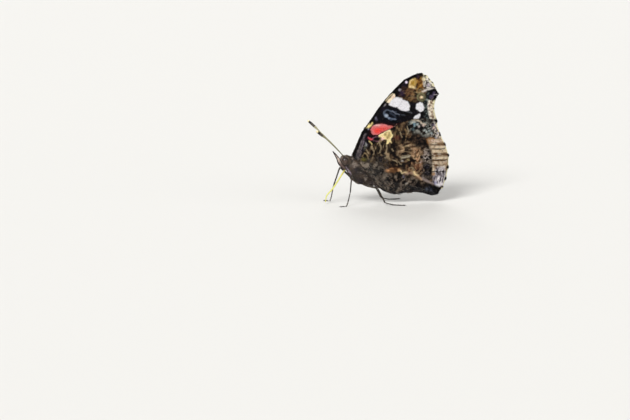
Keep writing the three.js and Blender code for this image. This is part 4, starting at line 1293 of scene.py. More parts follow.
def hind_middle(cloth):
    """The middle of the wing, with its veins' dark streaks and two dull eye spots."""
    cloth.dot((150, 140, 118), (7.0, 13.65), 1.6, soft=0.25, flat=0.3, turn=13)
    cloth.lines(
        ((206, 196, 172), [(5.8, 13.25), (7.0, 13.5), (8.3, 13.95)], 0.14, 0.15, 0.7),
        ((92, 80, 62), [(5.9, 13.6), (7.2, 14.0), (8.2, 14.2)], 0.14, 0.12, 0.8),
        ((14, 10, 10), [(5.4, 13.9), (6.4, 14.4), (8.6, 14.4)], 0.24, 0.15),
        ((150, 128, 98), [(5.6, 14.8), (7.0, 15.2), (8.6, 15.0)], 0.16, 0.12, 0.8),
        ((144, 120, 90), [(5.8, 16.2), (7.0, 16.6), (8.6, 16.4)], 0.16, 0.15, 0.7))
    cloth.dots(
        ((182, 176, 168), (6.1, 12.4), 0.34, 0.25, 1.0, 0.6),
        ((158, 142, 100), (7.8, 12.7), 0.4, 0.25, 1.0, 0.6),
        ((184, 156, 124), (9.7, 13.0), 0.34, 0.25, 1.0, 0.5),
        ((176, 150, 122), (9.6, 14.9), 0.3, 0.25, 1.0, 0.6, 50),
        ((84, 26, 28), (4.5, 19.2), 0.8, 0.6, 0.6, 0.7))
    cloth.lines(
        ((11, 8, 9), [(2.4, 15.5), (3.3, 14.6), (4.2, 13.8), (5.2, 13.1)], 0.8, 0.25),
        ((11, 8, 9), [(3.4, 17.2), (2.6, 16.3), (2.4, 15.2)], 0.8, 0.4),
        ((11, 8, 9), [(4.4, 16.6), (4.0, 15.6)], 0.6, 0.4))
    cloth.dot((22, 17, 24), (-0.5, 13.2), 0.8, soft=0.4)
    for route, width in (([(-3.6, 16.4), (-2.8, 15.2), (-3.2, 14.2)], 0.4),
            ([(-1.6, 17.2), (-1.0, 16.0), (-1.6, 14.6)], 0.5),
            ([(0.4, 17.8), (0.9, 16.6), (0.2, 15.2), (0.6, 14.0)], 0.5), ([(2.2, 18.0), (1.8, 16.8)], 0.4),
            ([(6.4, 21.6), (6.9, 20.2), (6.2, 19.0)], 0.45), ([(8.8, 21.4), (9.2, 19.8), (8.6, 18.4)], 0.45),
            ([(0.2, 12.6), (1.4, 12.0), (2.6, 12.2), (3.6, 11.6)], 0.4), ([(8.9, 12.2), (9.6, 11.2)], 0.4),
            ([(6.4, 11.6), (7.8, 11.2), (8.6, 10.2)], 0.4),
            ([(11.0, 14.8), (11.6, 13.2), (11.2, 12.4)], 0.4)):
        cloth.line((12, 9, 9), route, width, soft=0.25, cover=0.9)
    for route in ([(-3.0, 16.8), (-2.2, 15.4), (-2.5, 14.4)], [(-0.6, 17.6), (-0.2, 16.2), (-0.7, 14.8)],
            [(1.4, 17.0), (1.5, 15.8), (1.0, 14.6)], [(3.0, 16.0), (3.4, 15.4)],
            [(-4.4, 15.8), (-3.8, 14.8)], [(1.0, 13.4), (2.0, 13.9), (2.2, 13.0)],
            [(3.2, 12.8), (4.0, 12.6), (4.6, 12.0)], [(9.9, 12.1), (10.5, 11.6), (11.1, 11.9)],
            [(8.2, 10.4), (9.0, 10.6), (9.6, 9.8)], [(5.0, 12.2), (5.8, 11.4)], [(5.4, 20.6), (5.9, 19.4)],
            [(7.4, 22.4), (7.9, 21.2), (7.6, 20.2)]):
        cloth.line((178, 158, 126), route, 0.24, soft=0.16, cover=0.85)
    cloth.dot((124, 84, 62), (10.6, 10.9), 0.8, soft=0.7, cover=0.7)
    cloth.lines(
        ((204, 192, 182), [(12.3, 13.4), (12.8, 13.0), (13.3, 13.5), (13.9, 13.0)], 0.16, 0.12),
        ((186, 172, 164), [(12.5, 13.9), (13.1, 14.4), (13.7, 14.0)], 0.14, 0.12),
        ((150, 138, 132), [(12.4, 15.4), (13.2, 14.7), (13.9, 14.5)], 0.16, 0.15))
    cloth.dot((176, 150, 140), (11.6, 12.0), 0.34, soft=0.25, flat=0.6, turn=40)
    for centre, radius in (((13.3, 10.6), 0.95), ((13.4, 8.7), 0.8)):
        cloth.dot((11, 9, 11), centre, radius + 0.2, soft=0.4)
        cloth.line((112, 104, 106), [(centre[0] - radius * 0.7, centre[1] + 0.2),
                (centre[0], centre[1] + radius * 0.6), (centre[0] + radius * 0.7, centre[1] + 0.2)], 0.14,
                soft=0.15, cover=0.8)
        cloth.dot((62, 58, 66), (centre[0] + 0.1, centre[1] - 0.2), radius * 0.35, soft=0.25, cover=0.8,
                flat=0.6)


def hind_dusting(cloth):
    """Blue and white dusting near the front corner."""
    for centre, radius, shade in (((9.6, 23.1), 0.55, (118, 152, 168)), ((9.7, 22.5), 0.35, (146, 172, 180)),
            ((10.5, 22.9), 0.36, (196, 208, 206)), ((11.0, 22.3), 0.3, (232, 216, 212)),
            ((12.3, 22.6), 0.42, (232, 208, 196)), ((9.3, 21.6), 0.5, (70, 88, 92)),
            ((12.7, 21.2), 0.28, (206, 214, 208)), ((13.2, 20.7), 0.26, (218, 224, 216)),
            ((14.0, 21.0), 0.26, (180, 196, 196)), ((14.7, 20.2), 0.26, (170, 186, 190)),
            ((15.3, 21.9), 0.42, (232, 204, 190)), ((15.8, 21.3), 0.3, (226, 214, 208)),
            ((16.5, 20.4), 0.28, (214, 206, 214)), ((16.0, 19.0), 0.34, (176, 174, 190)),
            ((15.2, 22.7), 0.4, (88, 78, 104)), ((11.6, 23.3), 0.26, (222, 208, 192))):
        cloth.dot(shade, centre, radius * 0.72, soft=0.25, cover=0.9)
    cloth.lines(
        ((10, 9, 10), [(8.6, 24.6), (10.4, 24.6), (12.6, 23.9), (14.6, 23.4)], 0.6, 0.3, 0.8),
        ((222, 206, 182), [(9.0, 24.35), (10.4, 24.2), (11.4, 23.7), (12.2, 23.1), (12.9, 22.8)], 0.3, 0.2,
         0.9))


def cream_patch(cloth):
    """The cream patch on the front edge, and what shows of the red band."""
    cloth.patch((238, 216, 158), [(-1.1, 19.8), (0.2, 20.5), (1.0, 21.0), (2.2, 21.7), (2.9, 21.3),
            (3.1, 20.3), (3.4, 19.8), (3.0, 19.0), (2.75, 18.4), (3.1, 17.3), (2.4, 17.9), (2.0, 17.4),
            (1.3, 17.3), (1.7, 18.2), (1.2, 18.7), (0.5, 18.6), (0.1, 19.2)])
    cloth.dot((250, 206, 196), (0.4, 18.95), 0.4, soft=0.25)
    cloth.lines(
        ((254, 236, 194), [(-0.6, 20.0), (0.4, 20.3), (1.4, 21.0), (2.4, 21.4)], 0.26, 0.2, 0.8),
        ((236, 226, 172), [(3.2, 20.0), (2.6, 18.9), (1.9, 18.1)], 0.3, 0.2, 0.8))
    for centre, radius in (((1.1, 20.15), 0.36), ((2.3, 19.9), 0.36), ((1.8, 19.3), 0.36),
            ((1.5, 20.7), 0.16), ((2.2, 20.6), 0.16)):
        cloth.dot((146, 124, 66), centre, radius, soft=0.3, cover=0.9)
    red_band_edge = cloth.area([(-4.2, 20.2), (-1.0, 19.5), (-0.4, 18.6), (-1.6, 17.2), (-4.6, 17.4)],
            soft=0.3)
    cloth.darken(0.5 * red_band_edge)
    cloth.line((196, 84, 92), [(-3.3, 19.0), (-2.4, 18.8)], 0.4)
    marks_below_red(cloth)


def lower_marks(cloth):
    """The orange bar, cream spots and dull pink streak low on the wing."""
    cloth.patch((108, 74, 48), [(0.9, 9.3), (0.9, 10.4), (2.4, 10.6), (5.2, 10.5), (5.4, 9.6), (3.6, 9.2)],
            soft=0.2)
    cloth.dots(
        ((214, 160, 112), (1.6, 9.9), 0.6, 0.3, 1.0, 0.6), ((60, 36, 22), (4.0, 10.0), 0.5, 0.4, 0.8, 0.7),
        ((216, 166, 118), (5.1, 9.9), 0.45, 0.3, 1.0, 0.8))
    cloth.lines(
        ((176, 130, 92), [(2.2, 10.3), (3.4, 10.3)], 0.22, 0.2, 0.8),
        ((40, 24, 16), [(0.8, 10.75), (2.6, 10.85), (5.4, 10.7)], 0.26, 0.2, 0.9),
        ((234, 210, 162), [(5.5, 9.6), (6.0, 9.0), (6.9, 9.2), (7.6, 8.9)], 0.34, 0.2),
        ((172, 138, 120), [(7.0, 8.7), (8.4, 8.9), (9.4, 8.6)], 0.4, 0.3, 0.8),
        ((240, 218, 166), [(9.5, 9.1), (9.9, 8.5), (10.7, 8.0)], 0.5, 0.3),
        ((200, 166, 134), [(10.6, 7.9), (11.7, 7.0)], 0.5, 0.3),
        ((112, 78, 50), [(9.9, 7.9), (11.0, 7.1)], 0.26, 0.25, 0.8),
        ((176, 158, 150), [(12.2, 7.3), (12.9, 6.7), (13.8, 6.2), (15.0, 5.6)], 0.5, 0.35, 0.9))
    cloth.dots(
        ((104, 98, 110), (6.4, 7.9), 0.4, 0.3, 1.0, 0.6, -50),
        ((170, 162, 152), (7.3, 6.0), 0.34, 0.3, 1.0, 0.7), ((12, 9, 9), (-4.9, 13.9), 1.15, 0.3, 0.8),
        ((96, 88, 44), (-5.2, 13.3), 0.62, 0.3, 1.0, 0.8))
    cloth.line((158, 134, 100), [(-5.7, 14.1), (-5.1, 14.8), (-4.3, 14.5), (-4.1, 13.5)], 0.28, soft=0.18)
    cloth.dots(
        ((22, 15, 10), (-4.95, 13.95), 0.36, 0.2), ((12, 10, 12), (14.2, 5.0), 1.4, 0.8, 1.0, 0.5, -15),
        ((16, 13, 15), (10.4, 4.9), 1.8, 1.0, 0.9, 0.5))


def tan_band(cloth):
    """The tan band of bars down the outer edge."""
    cloth.patch((166, 122, 84), [(13.3, 18.4), (14.0, 17.0), (14.2, 16.2), (14.9, 15.0), (15.1, 13.5),
            (15.1, 12), (15.0, 10.3), (15.2, 8.6), (15.0, 7.9), (16.6, 7.8), (18.2, 8.5), (18.9, 10),
            (19.2, 11.5), (19.3, 13), (19.1, 15), (18.6, 17), (18.0, 18.5), (16, 18.6), (14.2, 18.9)],
            soft=0.25)
    cloth.patch((196, 136, 80), [(13.3, 18.4), (14.2, 16.9), (15.2, 16.9), (15.6, 18.4), (14.4, 18.9)],
            soft=0.6)
    cloth.patch((220, 192, 158), [(16.6, 18.4), (16.8, 15), (17.0, 12), (16.6, 9.6), (18.6, 10), (19.1, 12),
            (19.0, 15), (18.1, 18.2)], soft=1.2, cover=0.85)
    ladder = cloth.area([(13.6, 18.6), (14.8, 15), (15.1, 8), (18.2, 8.4), (19.3, 12), (19.1, 15.4),
            (18.0, 18.4)], soft=0.3)
    cloth.mottle([(104, 70, 48), (168, 128, 94), (204, 170, 130), (246, 224, 190)], 0.3, 64, ladder * 0.6,
            stretch=3.5)
    cloth.scribble((84, 52, 34), 0.13, 0.9, 266, ladder, turn=80, stretch=2.0, cover=0.6)
    cloth.scribble((252, 236, 208), 0.16, 0.7, 269, ladder, turn=4, stretch=3.0, cover=0.8)
    for bar, width, shade in ((((14.8, 18.1), (16, 17.9), (17.8, 18.1)), 0.4, (242, 214, 196)),
            (((14.2, 16.3), (16.4, 16.4), (18.6, 16.25)), 0.42, (252, 230, 196)),
            (((15.2, 14.9), (17, 14.9), (19, 14.7)), 0.42, (250, 226, 190)),
            (((15.2, 15.35), (17, 15.3), (19.1, 15.3)), 0.22, (244, 218, 182)),
            (((15.2, 13.05), (17, 13.0), (18.9, 13.1)), 0.5, (254, 236, 204)),
            (((15.6, 11.9), (17, 11.7), (19.0, 11.9)), 0.36, (240, 220, 194)),
            (((16.4, 10.3), (17.4, 10.1), (18.6, 10.4)), 0.4, (246, 232, 216))):
        cloth.line(shade, bar, width, soft=0.25, cover=0.9)
    for bar, width, shade in ((((13.9, 17.15), (16, 17.0), (18.4, 17.2)), 0.3, (66, 40, 26)),
            (((14.2, 16.75), (16, 16.7), (18.4, 16.8)), 0.14, (130, 88, 58)),
            (((14.8, 15.72), (16.4, 15.8), (17.6, 15.7), (19.1, 15.9)), 0.28, (26, 14, 11)),
            (((15.2, 14.5), (17, 14.4), (19.2, 14.45)), 0.2, (88, 58, 38)),
            (((15.2, 14.05), (17, 13.95), (19.2, 14.1)), 0.26, (54, 34, 24)),
            (((15.2, 13.55), (17, 13.5), (19.0, 13.6)), 0.12, (150, 112, 84)),
            (((14.8, 12.38), (16.6, 12.48), (18.2, 12.38), (19.3, 12.5)), 0.3, (22, 12, 10)),
            (((15.2, 11.2), (17.2, 11.0), (18.8, 11.1)), 0.2, (112, 80, 60)),
            (((15.2, 10.5), (16.2, 10.7)), 0.18, (110, 76, 56)),
            (((15.0, 9.2), (16.8, 9.1), (18.8, 9.15)), 0.34, (12, 9, 10)),
            (((15.4, 10.2), (15.9, 9.5)), 0.3, (90, 58, 40))):
        cloth.line(shade, bar, width, soft=0.14, cover=0.9)
    for bit in ((15.2, 18.2), (15.9, 17.5), (17.2, 17.6), (16.8, 16.1), (15.5, 16.4), (17.9, 15.1),
            (16.2, 14.6), (17.4, 13.6), (16.0, 12.9), (18.2, 12.9), (16.9, 11.4), (17.9, 11.7), (16.0, 10.0),
            (15.4, 11.6), (15.3, 13.6), (14.5, 15.9)):
        cloth.dot((74, 48, 34), bit, 0.2, soft=0.2, cover=0.8, flat=0.5, turn=80)
    corner = cloth.area([(15.9, 10.4), (15.2, 8.2), (15.2, 6.2), (16.2, 5.0), (18.2, 5.4), (18.8, 8.4),
            (18.4, 10.6)], soft=0.4)
    cloth.mottle([(54, 48, 56), (138, 130, 140), (210, 202, 206), (246, 240, 236)], 0.36, 61, corner * 0.95,
            turn=80, stretch=2.4)
    for route in ([(16.2, 9.8), (16.3, 8.2), (16.0, 6.8)], [(17.3, 9.0), (17.5, 7.4), (17.2, 6.0)],
            [(18.3, 8.8), (18.2, 7.4)]):
        cloth.line((26, 21, 26), route, 0.2, soft=0.15, cover=0.9)
    cloth.patch((236, 226, 226), [(16.9, 10.4), (16.8, 9.5), (17.6, 9.4), (18.4, 9.9), (18.2, 10.6)],
            soft=0.4, cover=0.8)
    cloth.dots(
        ((246, 220, 186), (15.35, 9.85), 0.36, 0.25), ((206, 160, 116), (15.3, 8.5), 0.34, 0.25))
    cloth.line((12, 9, 10), [(15.0, 9.2), (16.8, 9.1), (18.4, 9.1)], 0.28)
    whole = cloth.area([(12.8, 19.0), (13.8, 15), (14.6, 7.6), (18.6, 8.0), (19.6, 12), (19.3, 15.6),
            (18.2, 19.0)], soft=0.5)
    cloth.darken(0.28 * whole)
    cloth.lines(
        ((18, 16, 19), [(-1.6, 5.6), (0.6, 3.8), (3.6, 2.8), (7.0, 3.1), (10.6, 3.2), (14.0, 2.4)], 1.9, 1.1,
         0.85), ((70, 64, 66), [(0.4, 4.4), (2.4, 3.5), (5.0, 3.4)], 0.16, 0.2, 0.5))


def rear_corner(cloth):
    """The black rear corner."""
    cloth.patch((7, 6, 8), [(9.6, 2.0), (12.4, 4.3), (14.2, 5.2), (15.4, 5.1), (16.4, 4.8), (17.9, 4.5),
            (18.2, 3.4), (17.2, 1.8), (14.8, 1.4)], soft=0.35)
    for centre, radius, shade in (((15.9, 5.9), 0.34, (150, 148, 184)), ((16.2, 5.5), 0.2, (214, 210, 226)),
            ((17.0, 5.2), 0.34, (236, 232, 236)), ((17.5, 5.7), 0.32, (226, 218, 222)),
            ((13.2, 4.1), 0.36, (88, 92, 104)), ((14.5, 3.8), 0.34, (60, 64, 78)),
            ((14.0, 4.6), 0.2, (52, 54, 66)), ((18.0, 5.3), 0.34, (240, 234, 236))):
        cloth.dot(shade, centre, radius, soft=0.3)
    cloth.line((26, 19, 17), [(17.3, 20.7), (18.6, 17.4), (19.5, 14.0), (19.45, 10.4), (18.75, 7.0),
            (17.9, 4.8)], 0.16, soft=0.12, cover=0.85)


def vein_points(cloth):
    """Dark points where the veins meet the edge."""
    for tip in ((16.4, 24.0), (17.7, 20.2), (19.1, 17.2), (20.2, 13.9), (20.1, 10.3), (19.4, 6.9)):
        cloth.dot((11, 8, 8), tip, 0.85, soft=0.25)


def paint_hindwing(places):
    """Under side of a hind wing: marbled brown and black, a cream front patch, a tan band at the back."""
    cloth = Markings(places, (38, 29, 24), seed=41)
    cloth.mottle([(10, 8, 8), (31, 23, 19), (60, 45, 34), (106, 85, 64)], 0.75, 42)
    for paint in (marbled_fields, hind_middle, hind_dusting, cream_patch, lower_marks, tan_band, rear_corner,
            vein_points):
        paint(cloth)
    return cloth.tint


def paint_forewing_upper(places):
    """Hidden upper side of a fore wing: black, with the red band and white spots of the species."""
    cloth = Markings(places, (22, 17, 15), seed=71)
    cloth.patch((54, 40, 30), [(-8, 12), (-5, 19), (3, 17), (0, 12.5)], soft=2.0)
    cloth.patch((226, 74, 36), [(-1.6, 24.2), (1.4, 25.6), (6.4, 22.8), (11.4, 20.0), (14.2, 18.4),
            (12.4, 17.8), (8.8, 20), (4.2, 21.4), (0.4, 22.6), (-2.2, 22.4)], soft=0.15)
    cloth.patch(WHITE, [(2.2, 28.9), (3.9, 31.7), (6.2, 30.1), (8.1, 29.2), (7.6, 26.7), (4.7, 28.0)])
    for centre, radius in (((11.4, 27.9), 1.0), ((10.6, 25.2), 0.6), ((11.6, 30.9), 0.5),
            ((10.2, 33.6), 0.7), ((9.3, 34.8), 0.4)):
        cloth.dot(WHITE, centre, radius)
    return cloth.tint


def paint_hindwing_upper(places):
    """Hidden upper side of a hind wing: dark brown, with the orange edge band and its black dots."""
    cloth = Markings(places, (34, 25, 20), seed=81)
    cloth.mottle([(20, 14, 11), (34, 25, 20), (58, 44, 32)], 2.0, 83)
    band = [(16.0, 21.6), (17.0, 18.6), (17.6, 15.4), (17.6, 12.0), (17.2, 8.8), (16.2, 6.4)]
    cloth.line((222, 84, 40), band, 2.6, soft=0.2)
    for centre in ((17.0, 18.4), (17.6, 15.2), (17.6, 12.0), (17.1, 9.0)):
        cloth.dot((16, 12, 12), centre, 0.55)
    cloth.dots(
        ((96, 120, 190), (16.0, 4.6), 0.5, 0.25), ((96, 120, 190), (14.8, 3.9), 0.4, 0.25))
    return cloth.tint


WINGS = {
    "fore": dict(
        away=fore_away, under=paint_forewing, upper=paint_forewing_upper, hub=(-6.6, 14.1), scallop=0.15,
        leading=((-8.0, 13.6), (-7.4, 15.6), (-5.4, 20.5), (-3.4, 23.4), (1.1, 29.7), (6.1, 35.0),
            (8.8, 36.7), (12.2, 37.9)),
        vein_ends=((12.2, 37.9), (13.7, 37.2), (15.5, 35.1), (17.2, 31.8), (16.1, 29.8), (15.8, 27.3),
            (16.8, 23.8), (16.5, 20.6), (15.2, 17.8)),
        trailing=((15.2, 17.8), (10.0, 16.4), (2.7, 14.7), (-2.6, 13.4), (-5.9, 12.9), (-8.0, 13.6)),
        cell=((-6.6, 14.1), (-3.6, 20.6), (1.6, 26.9), (4.2, 26.2), (4.4, 23.4), (1.6, 20.4), (-6.2, 13.8)),
        veins=(((-6.9, 14.0), (-4.9, 20.2), (-0.2, 27.0), (3.4, 31.6)),
            ((-3.6, 20.6), (1.0, 27.0), (4.4, 32.6)), ((1.6, 26.9), (5.4, 31.8), (7.8, 35.4)),
            ((1.6, 26.9), (6.6, 31.6), (10.5, 37.2)), ((6.6, 31.6), (9.6, 34.6), (12.2, 37.7)),
            ((6.6, 31.6), (10.6, 34.2), (14.2, 36.6)), ((3.2, 26.7), (9.4, 31.0), (17.2, 31.8)),
            ((4.2, 26.0), (9.8, 28.9), (16.1, 29.8)), ((4.4, 24.8), (10.0, 26.6), (15.8, 27.3)),
            ((4.4, 23.4), (10.4, 24.0), (16.8, 23.8)), ((2.6, 21.4), (9.6, 21.2), (16.5, 20.6)),
            ((-6.2, 13.6), (4.0, 17.0), (15.2, 17.9))),
    ),
    "hind": dict(
        away=hind_away, under=paint_hindwing, upper=paint_hindwing_upper, hub=(-4.6, 12.4), scallop=0.25,
        leading=((-6.6, 12.6), (-4.3, 15.9), (-0.8, 19.9), (2.3, 21.5), (5.5, 23.2), (9.1, 24.3),
            (12.9, 24.5), (16.4, 24.0)),
        vein_ends=((16.4, 24.0), (17.6, 20.2), (19.1, 17.2), (20.2, 13.9), (20.1, 10.3), (19.4, 6.9),
            (18.4, 4.3), (16.9, 2.5)),
        trailing=((16.9, 2.5), (14.9, 2.1), (12.4, 2.8), (9.1, 3.2), (6.0, 2.9), (4.0, 2.7), (1.7, 3.3),
            (-0.4, 4.5), (-3.4, 8.0), (-5.4, 10.6), (-6.6, 12.6)),
        cell=((-4.6, 12.4), (0.6, 16.4), (5.4, 17.4), (7.4, 15.2), (6.4, 12.6), (0.6, 11.2), (-4.4, 12.0)),
        veins=(((-4.6, 12.6), (1.0, 18.6), (9.0, 23.4), (16.4, 24.0)),
            ((0.6, 16.4), (9.4, 19.8), (17.6, 20.2)), ((5.4, 17.4), (12.4, 17.8), (19.1, 17.2)),
            ((7.4, 15.4), (13.6, 14.6), (20.2, 13.9)), ((7.0, 14.0), (13.6, 11.8), (20.1, 10.3)),
            ((6.4, 12.6), (13.0, 9.0), (19.4, 6.9)), ((3.2, 11.7), (11.0, 6.8), (18.4, 4.3)),
            ((-4.2, 11.8), (6.4, 7.4), (16.9, 2.6)), ((-4.2, 11.4), (2.0, 7.0), (9.0, 3.4))),
    ),
}
RIB_HEIGHT = 0.17
PLEAT_DEPTH = 0.10
WAVE_HEIGHT = 0.16


def wing_edge(wing):
    """The edge of a wing out to its fringe, the way in from it, and how much of the edge there is fringe."""
    lead = smooth_route(wing["leading"], 10)[:-1]
    trail = smooth_route(wing["trailing"], 10)[:-1]
    ends = np.array(wing["vein_ends"])
    t = np.linspace(0, 1, 12, endpoint=False)[:, None]
    margin = []
    for start, end in zip(ends, ends[1:]):
        middle = (start + end) / 2
        bend = middle + unit(wing["hub"] - middle) * 2 * wing["scallop"]
        margin.append((1 - t) ** 2 * start + 2 * t * (1 - t) * bend + t**2 * end)
    margin = np.vstack(margin)
    ring = np.vstack([lead, margin, trail, lead[:1]])
    fringed = np.repeat((0.0, 1.0, 0.5, 0.0), (len(lead), len(margin), len(trail), 1))
    reach = lengths_along(ring)
    at = np.linspace(0, reach[-1], int(reach[-1] / SHEET_GRID), endpoint=False)
    edge = points_at(at, reach, ring)
    fringed = np.interp(at, reach, fringed)
    fringed = np.convolve(np.concatenate([fringed[-4:], fringed, fringed[:4]]), np.ones(9) / 9, "valid")
    run = unit(np.roll(edge, -3, axis=0) - np.roll(edge, 3, axis=0))
    return edge, np.stack([run[:, 1], -run[:, 0]], 1), fringed


def relief(wing, places):
    """How far the sheet stands out from its middle: ribs along the veins, shallow pleats between."""
    span = np.linalg.norm(places - np.array(wing["hub"]), axis=1)
    fade = np.clip(1 - span / 30, 0.25, 1)
    rib = np.zeros(len(places))
    nearest = np.full(len(places), 9.0)
    for route in (wing["cell"],) + wing["veins"]:
        off = from_line(places, smooth_route(route, 5))
        rib = np.maximum(rib, fade * RIB_HEIGHT * np.exp(-((off / (0.09 + 0.12 * fade)) ** 2)))
        nearest = np.minimum(nearest, off)
    pleat = np.clip(nearest / 1.2, 0, 1) ** 1.5 * PLEAT_DEPTH
    wave = (noise(places, 3.5, 91) - 0.5) * WAVE_HEIGHT
    return (rib - pleat + wave) * np.clip(span / 3, 0, 1)


def outer_face(wing, places):
    """How far out from the middle plane the outer face of the sheet lies."""
    return wing["away"](places[:, 0], places[:, 1]) + SHEET_HALF + relief(wing, places)


def inner_face(wing, places):
    """How far out from the middle plane the inner face of the sheet lies."""
    return wing["away"](places[:, 0], places[:, 1]) - SHEET_HALF + np.minimum(relief(wing, places), 0)


def fill_rim(rim):
    """An even sheet of triangles inside a rim. The rim's own points come first."""
    low, high = rim.min(0), rim.max(0)
    grid = []
    for turn, row in enumerate(np.arange(low[1], high[1], SHEET_GRID * 0.866)):
        along = np.arange(low[0] + (turn % 2) * SHEET_GRID / 2, high[0], SHEET_GRID)
        grid.append(np.stack([along, np.full(len(along), row)], 1))
    grid = np.vstack(grid)
    grid = grid[within(grid, rim) > SHEET_GRID * 0.55]
    loop = [(i, (i + 1) % len(rim)) for i in range(len(rim))]
    flat = delaunay_2d_cdt([tuple(p) for p in np.vstack([rim, grid])], loop, [], 1, 1e-6)
    places = np.array([tuple(v) for v in flat[0]])
    triangles = np.array(flat[2])
    assert len(places) == len(rim) + len(grid)
    a, b, c = (places[triangles[:, i]] for i in range(3))
    clockwise = (b[:, 0] - a[:, 0]) * (c[:, 1] - a[:, 1]) - (b[:, 1] - a[:, 1]) * (c[:, 0] - a[:, 0]) < 0
    triangles[clockwise] = triangles[clockwise][:, ::-1]
    return places, triangles


sheet_look = tinted("wing membrane", rough=0.7, grain=0.16, depth=0.02, spread=0.12, gloss=0.15)
for pair, wing in WINGS.items():
    edge, inward, fringed = wing_edge(wing)
    rim = edge + inward * fringed[:, None] * FRINGE
    wing.update(edge=edge, inward=inward, fringed=fringed, rim=rim)
    places, triangles = fill_rim(rim)
    around = np.arange(len(rim))
    after = (around + 1) % len(rim)
    walls = np.stack([around, after, after + len(places), around + len(places)], 1)
    heights = [face(wing, places) for face in (outer_face, inner_face)]
    tint = np.vstack([wing["under"](places), wing["upper"](places)])
    for side, sign in (("left", -1), ("right", 1)):
        points = np.vstack([np.column_stack([places[:, 0], sign * height, places[:, 1]])
                for height in heights])
        faces = []
        for some in (triangles, triangles[:, ::-1] + len(places), walls):
            faces += (some if sign < 0 else some[:, ::-1]).tolist()
        sheet = make_piece(f"{pair}wing_{side}", points, faces, tint, sheet_look)
        wear(sheet, f"{pair}wing", f"wing_{pair}_{side}")

# Wing scales
# Each wing is tiled with flat overlapping scales in rows across it, every one a single colour. Hair grows
# over the roots, and the edge is a fringe of long scales, pale between the veins and dark where they end.
SCALE_ROW = 0.15
SCALE_SPACING = 0.117
SCALE_SCATTER = 0.012
SCALE_THICKNESS = 0.02
HIDDEN_SCALE_GROWTH = 1.8
HIDDEN_SCALE = (0.27, 0.15, 0.013)
DUST_BROWN = (60, 52, 46)
ROOT_HAIRS = {"fore": 300, "hind": 1500}
ROOT_HAIR_REACH = {"fore": (-4.5, 17), "hind": (1.5, 14.5)}
ROOT_TUFTS = (152, 137, 120)
TUFTS_PER_STEP = 8
FRINGE_PALE = (236, 226, 184)
FRINGE_DARK = (20, 15, 15)
FRINGE_BY_ABDOMEN = (70, 60, 54)
# Each dark mark on the fringe: its middle, and how far it reaches
FRINGE_MARKS = {
    "fore": (((11.6, 37.9), 0.7), ((13.15, 37.3), 0.3), ((14.25, 36.3), 0.32), ((15.2, 35.1), 0.32),
        ((15.9, 33.6), 0.3), ((17.2, 32.2), 1.5), ((16.6, 30.6), 0.9), ((16.0, 27.5), 0.28),
        ((16.9, 24.1), 0.75), ((16.7, 20.4), 0.6)),
    "hind": (((16.4, 24.0), 0.7), ((17.6, 20.2), 0.75), ((19.1, 17.2), 0.65), ((20.2, 13.9), 0.6),
        ((20.1, 10.3), 0.6), ((19.4, 6.9), 0.7), ((18.3, 4.6), 0.35), ((16.6, 2.3), 2.0)),
}
scale_coat = coat_look("wing scales", rough=0.7, root=0.86, tip=1.1, sheen=0.0, gloss=0.06)


def wing_lie(wing, face, places, ways, sign, lift):
    """Roots on one face of a wing and the turns of blades that lie there along a direction."""
    step = 0.03
    outward = -1 if face is inner_face else 1
    here = face(wing, places)
    slope_x = (face(wing, places + (step, 0)) - here) / step
    slope_z = (face(wing, places + (0, step)) - here) / step
    out = np.stack([-slope_x, np.full(len(places), float(sign)), -slope_z], 1) * outward
    along = np.stack([ways[:, 0], np.zeros(len(places)), ways[:, 1]], 1)
    roots = np.stack([places[:, 0], sign * (here - 0.004 * outward), places[:, 1]], 1)
    return roots, lying(along, out, lift)


def rows_of_scales(hub, rim, growth):
    """Roots of scales in rings round the wing's root, close enough to cover it like tiles."""
    rings = []
    for turn, radius in enumerate(np.arange(0.1, np.linalg.norm(rim - hub, axis=1).max(),
            SCALE_ROW * growth)):
        gap = SCALE_SPACING * growth / radius
        angle = np.arange(0, 2 * math.pi, gap) + (turn % 2) * gap / 2
        rings.append(hub + radius * np.stack([np.cos(angle), np.sin(angle)], 1))
    roots = np.vstack(rings)
    roots = roots[np.all((roots > rim.min(0)) & (roots < rim.max(0)), axis=1)]
    roots = roots[covers(roots, rim)]
    return roots + dice.normal(0, SCALE_SCATTER, roots.shape)


def scale_shades(tint):
    """Each scale's own shade of the marking it lies in, with a few dark or dusty ones."""
    bright = tint.mean(1, keepdims=True)
    tint = tint * dice.uniform(0.8, 1.2, (len(tint), 1))
    dark = (dice.random((len(tint), 1)) < 0.07) & (bright < 0.45)
    tint = np.where(dark, tint * 0.4, tint)
    dusty = (dice.random((len(tint), 1)) < 0.04) & (bright < 0.25)
    return np.where(dusty, tint + linear(DUST_BROWN), tint)


def outer_scales(wing):
    """Scales of the under side, which faces out: their places, ways, lift, sizes and colours."""
    places = rows_of_scales(wing["hub"], wing["rim"], 1.0)
    ways = unit(places - wing["hub"]) + dice.normal(0, 0.1, places.shape)
    tint = scale_shades(wing["under"](places + dice.normal(0, 0.02, places.shape)))
    length = dice.uniform(0.25, 0.3, len(places))
    size = sized(length, dice.uniform(0.143, 0.163, len(places)), SCALE_THICKNESS)
    return places, ways, dice.uniform(7, 13, len(places)), size, tint


def hidden_scales(wing):
    """The same for the upper side, folded in: larger scales, wider apart."""
    places = rows_of_scales(wing["hub"], wing["rim"], HIDDEN_SCALE_GROWTH)
    ways = unit(places - wing["hub"]) + dice.normal(0, 0.1, places.shape)
    tint = scale_shades(wing["upper"](places))
    size = np.array(HIDDEN_SCALE) * HIDDEN_SCALE_GROWTH * dice.uniform(0.9, 1.1, (len(places), 1))
    return places, ways, 8.0, size, tint


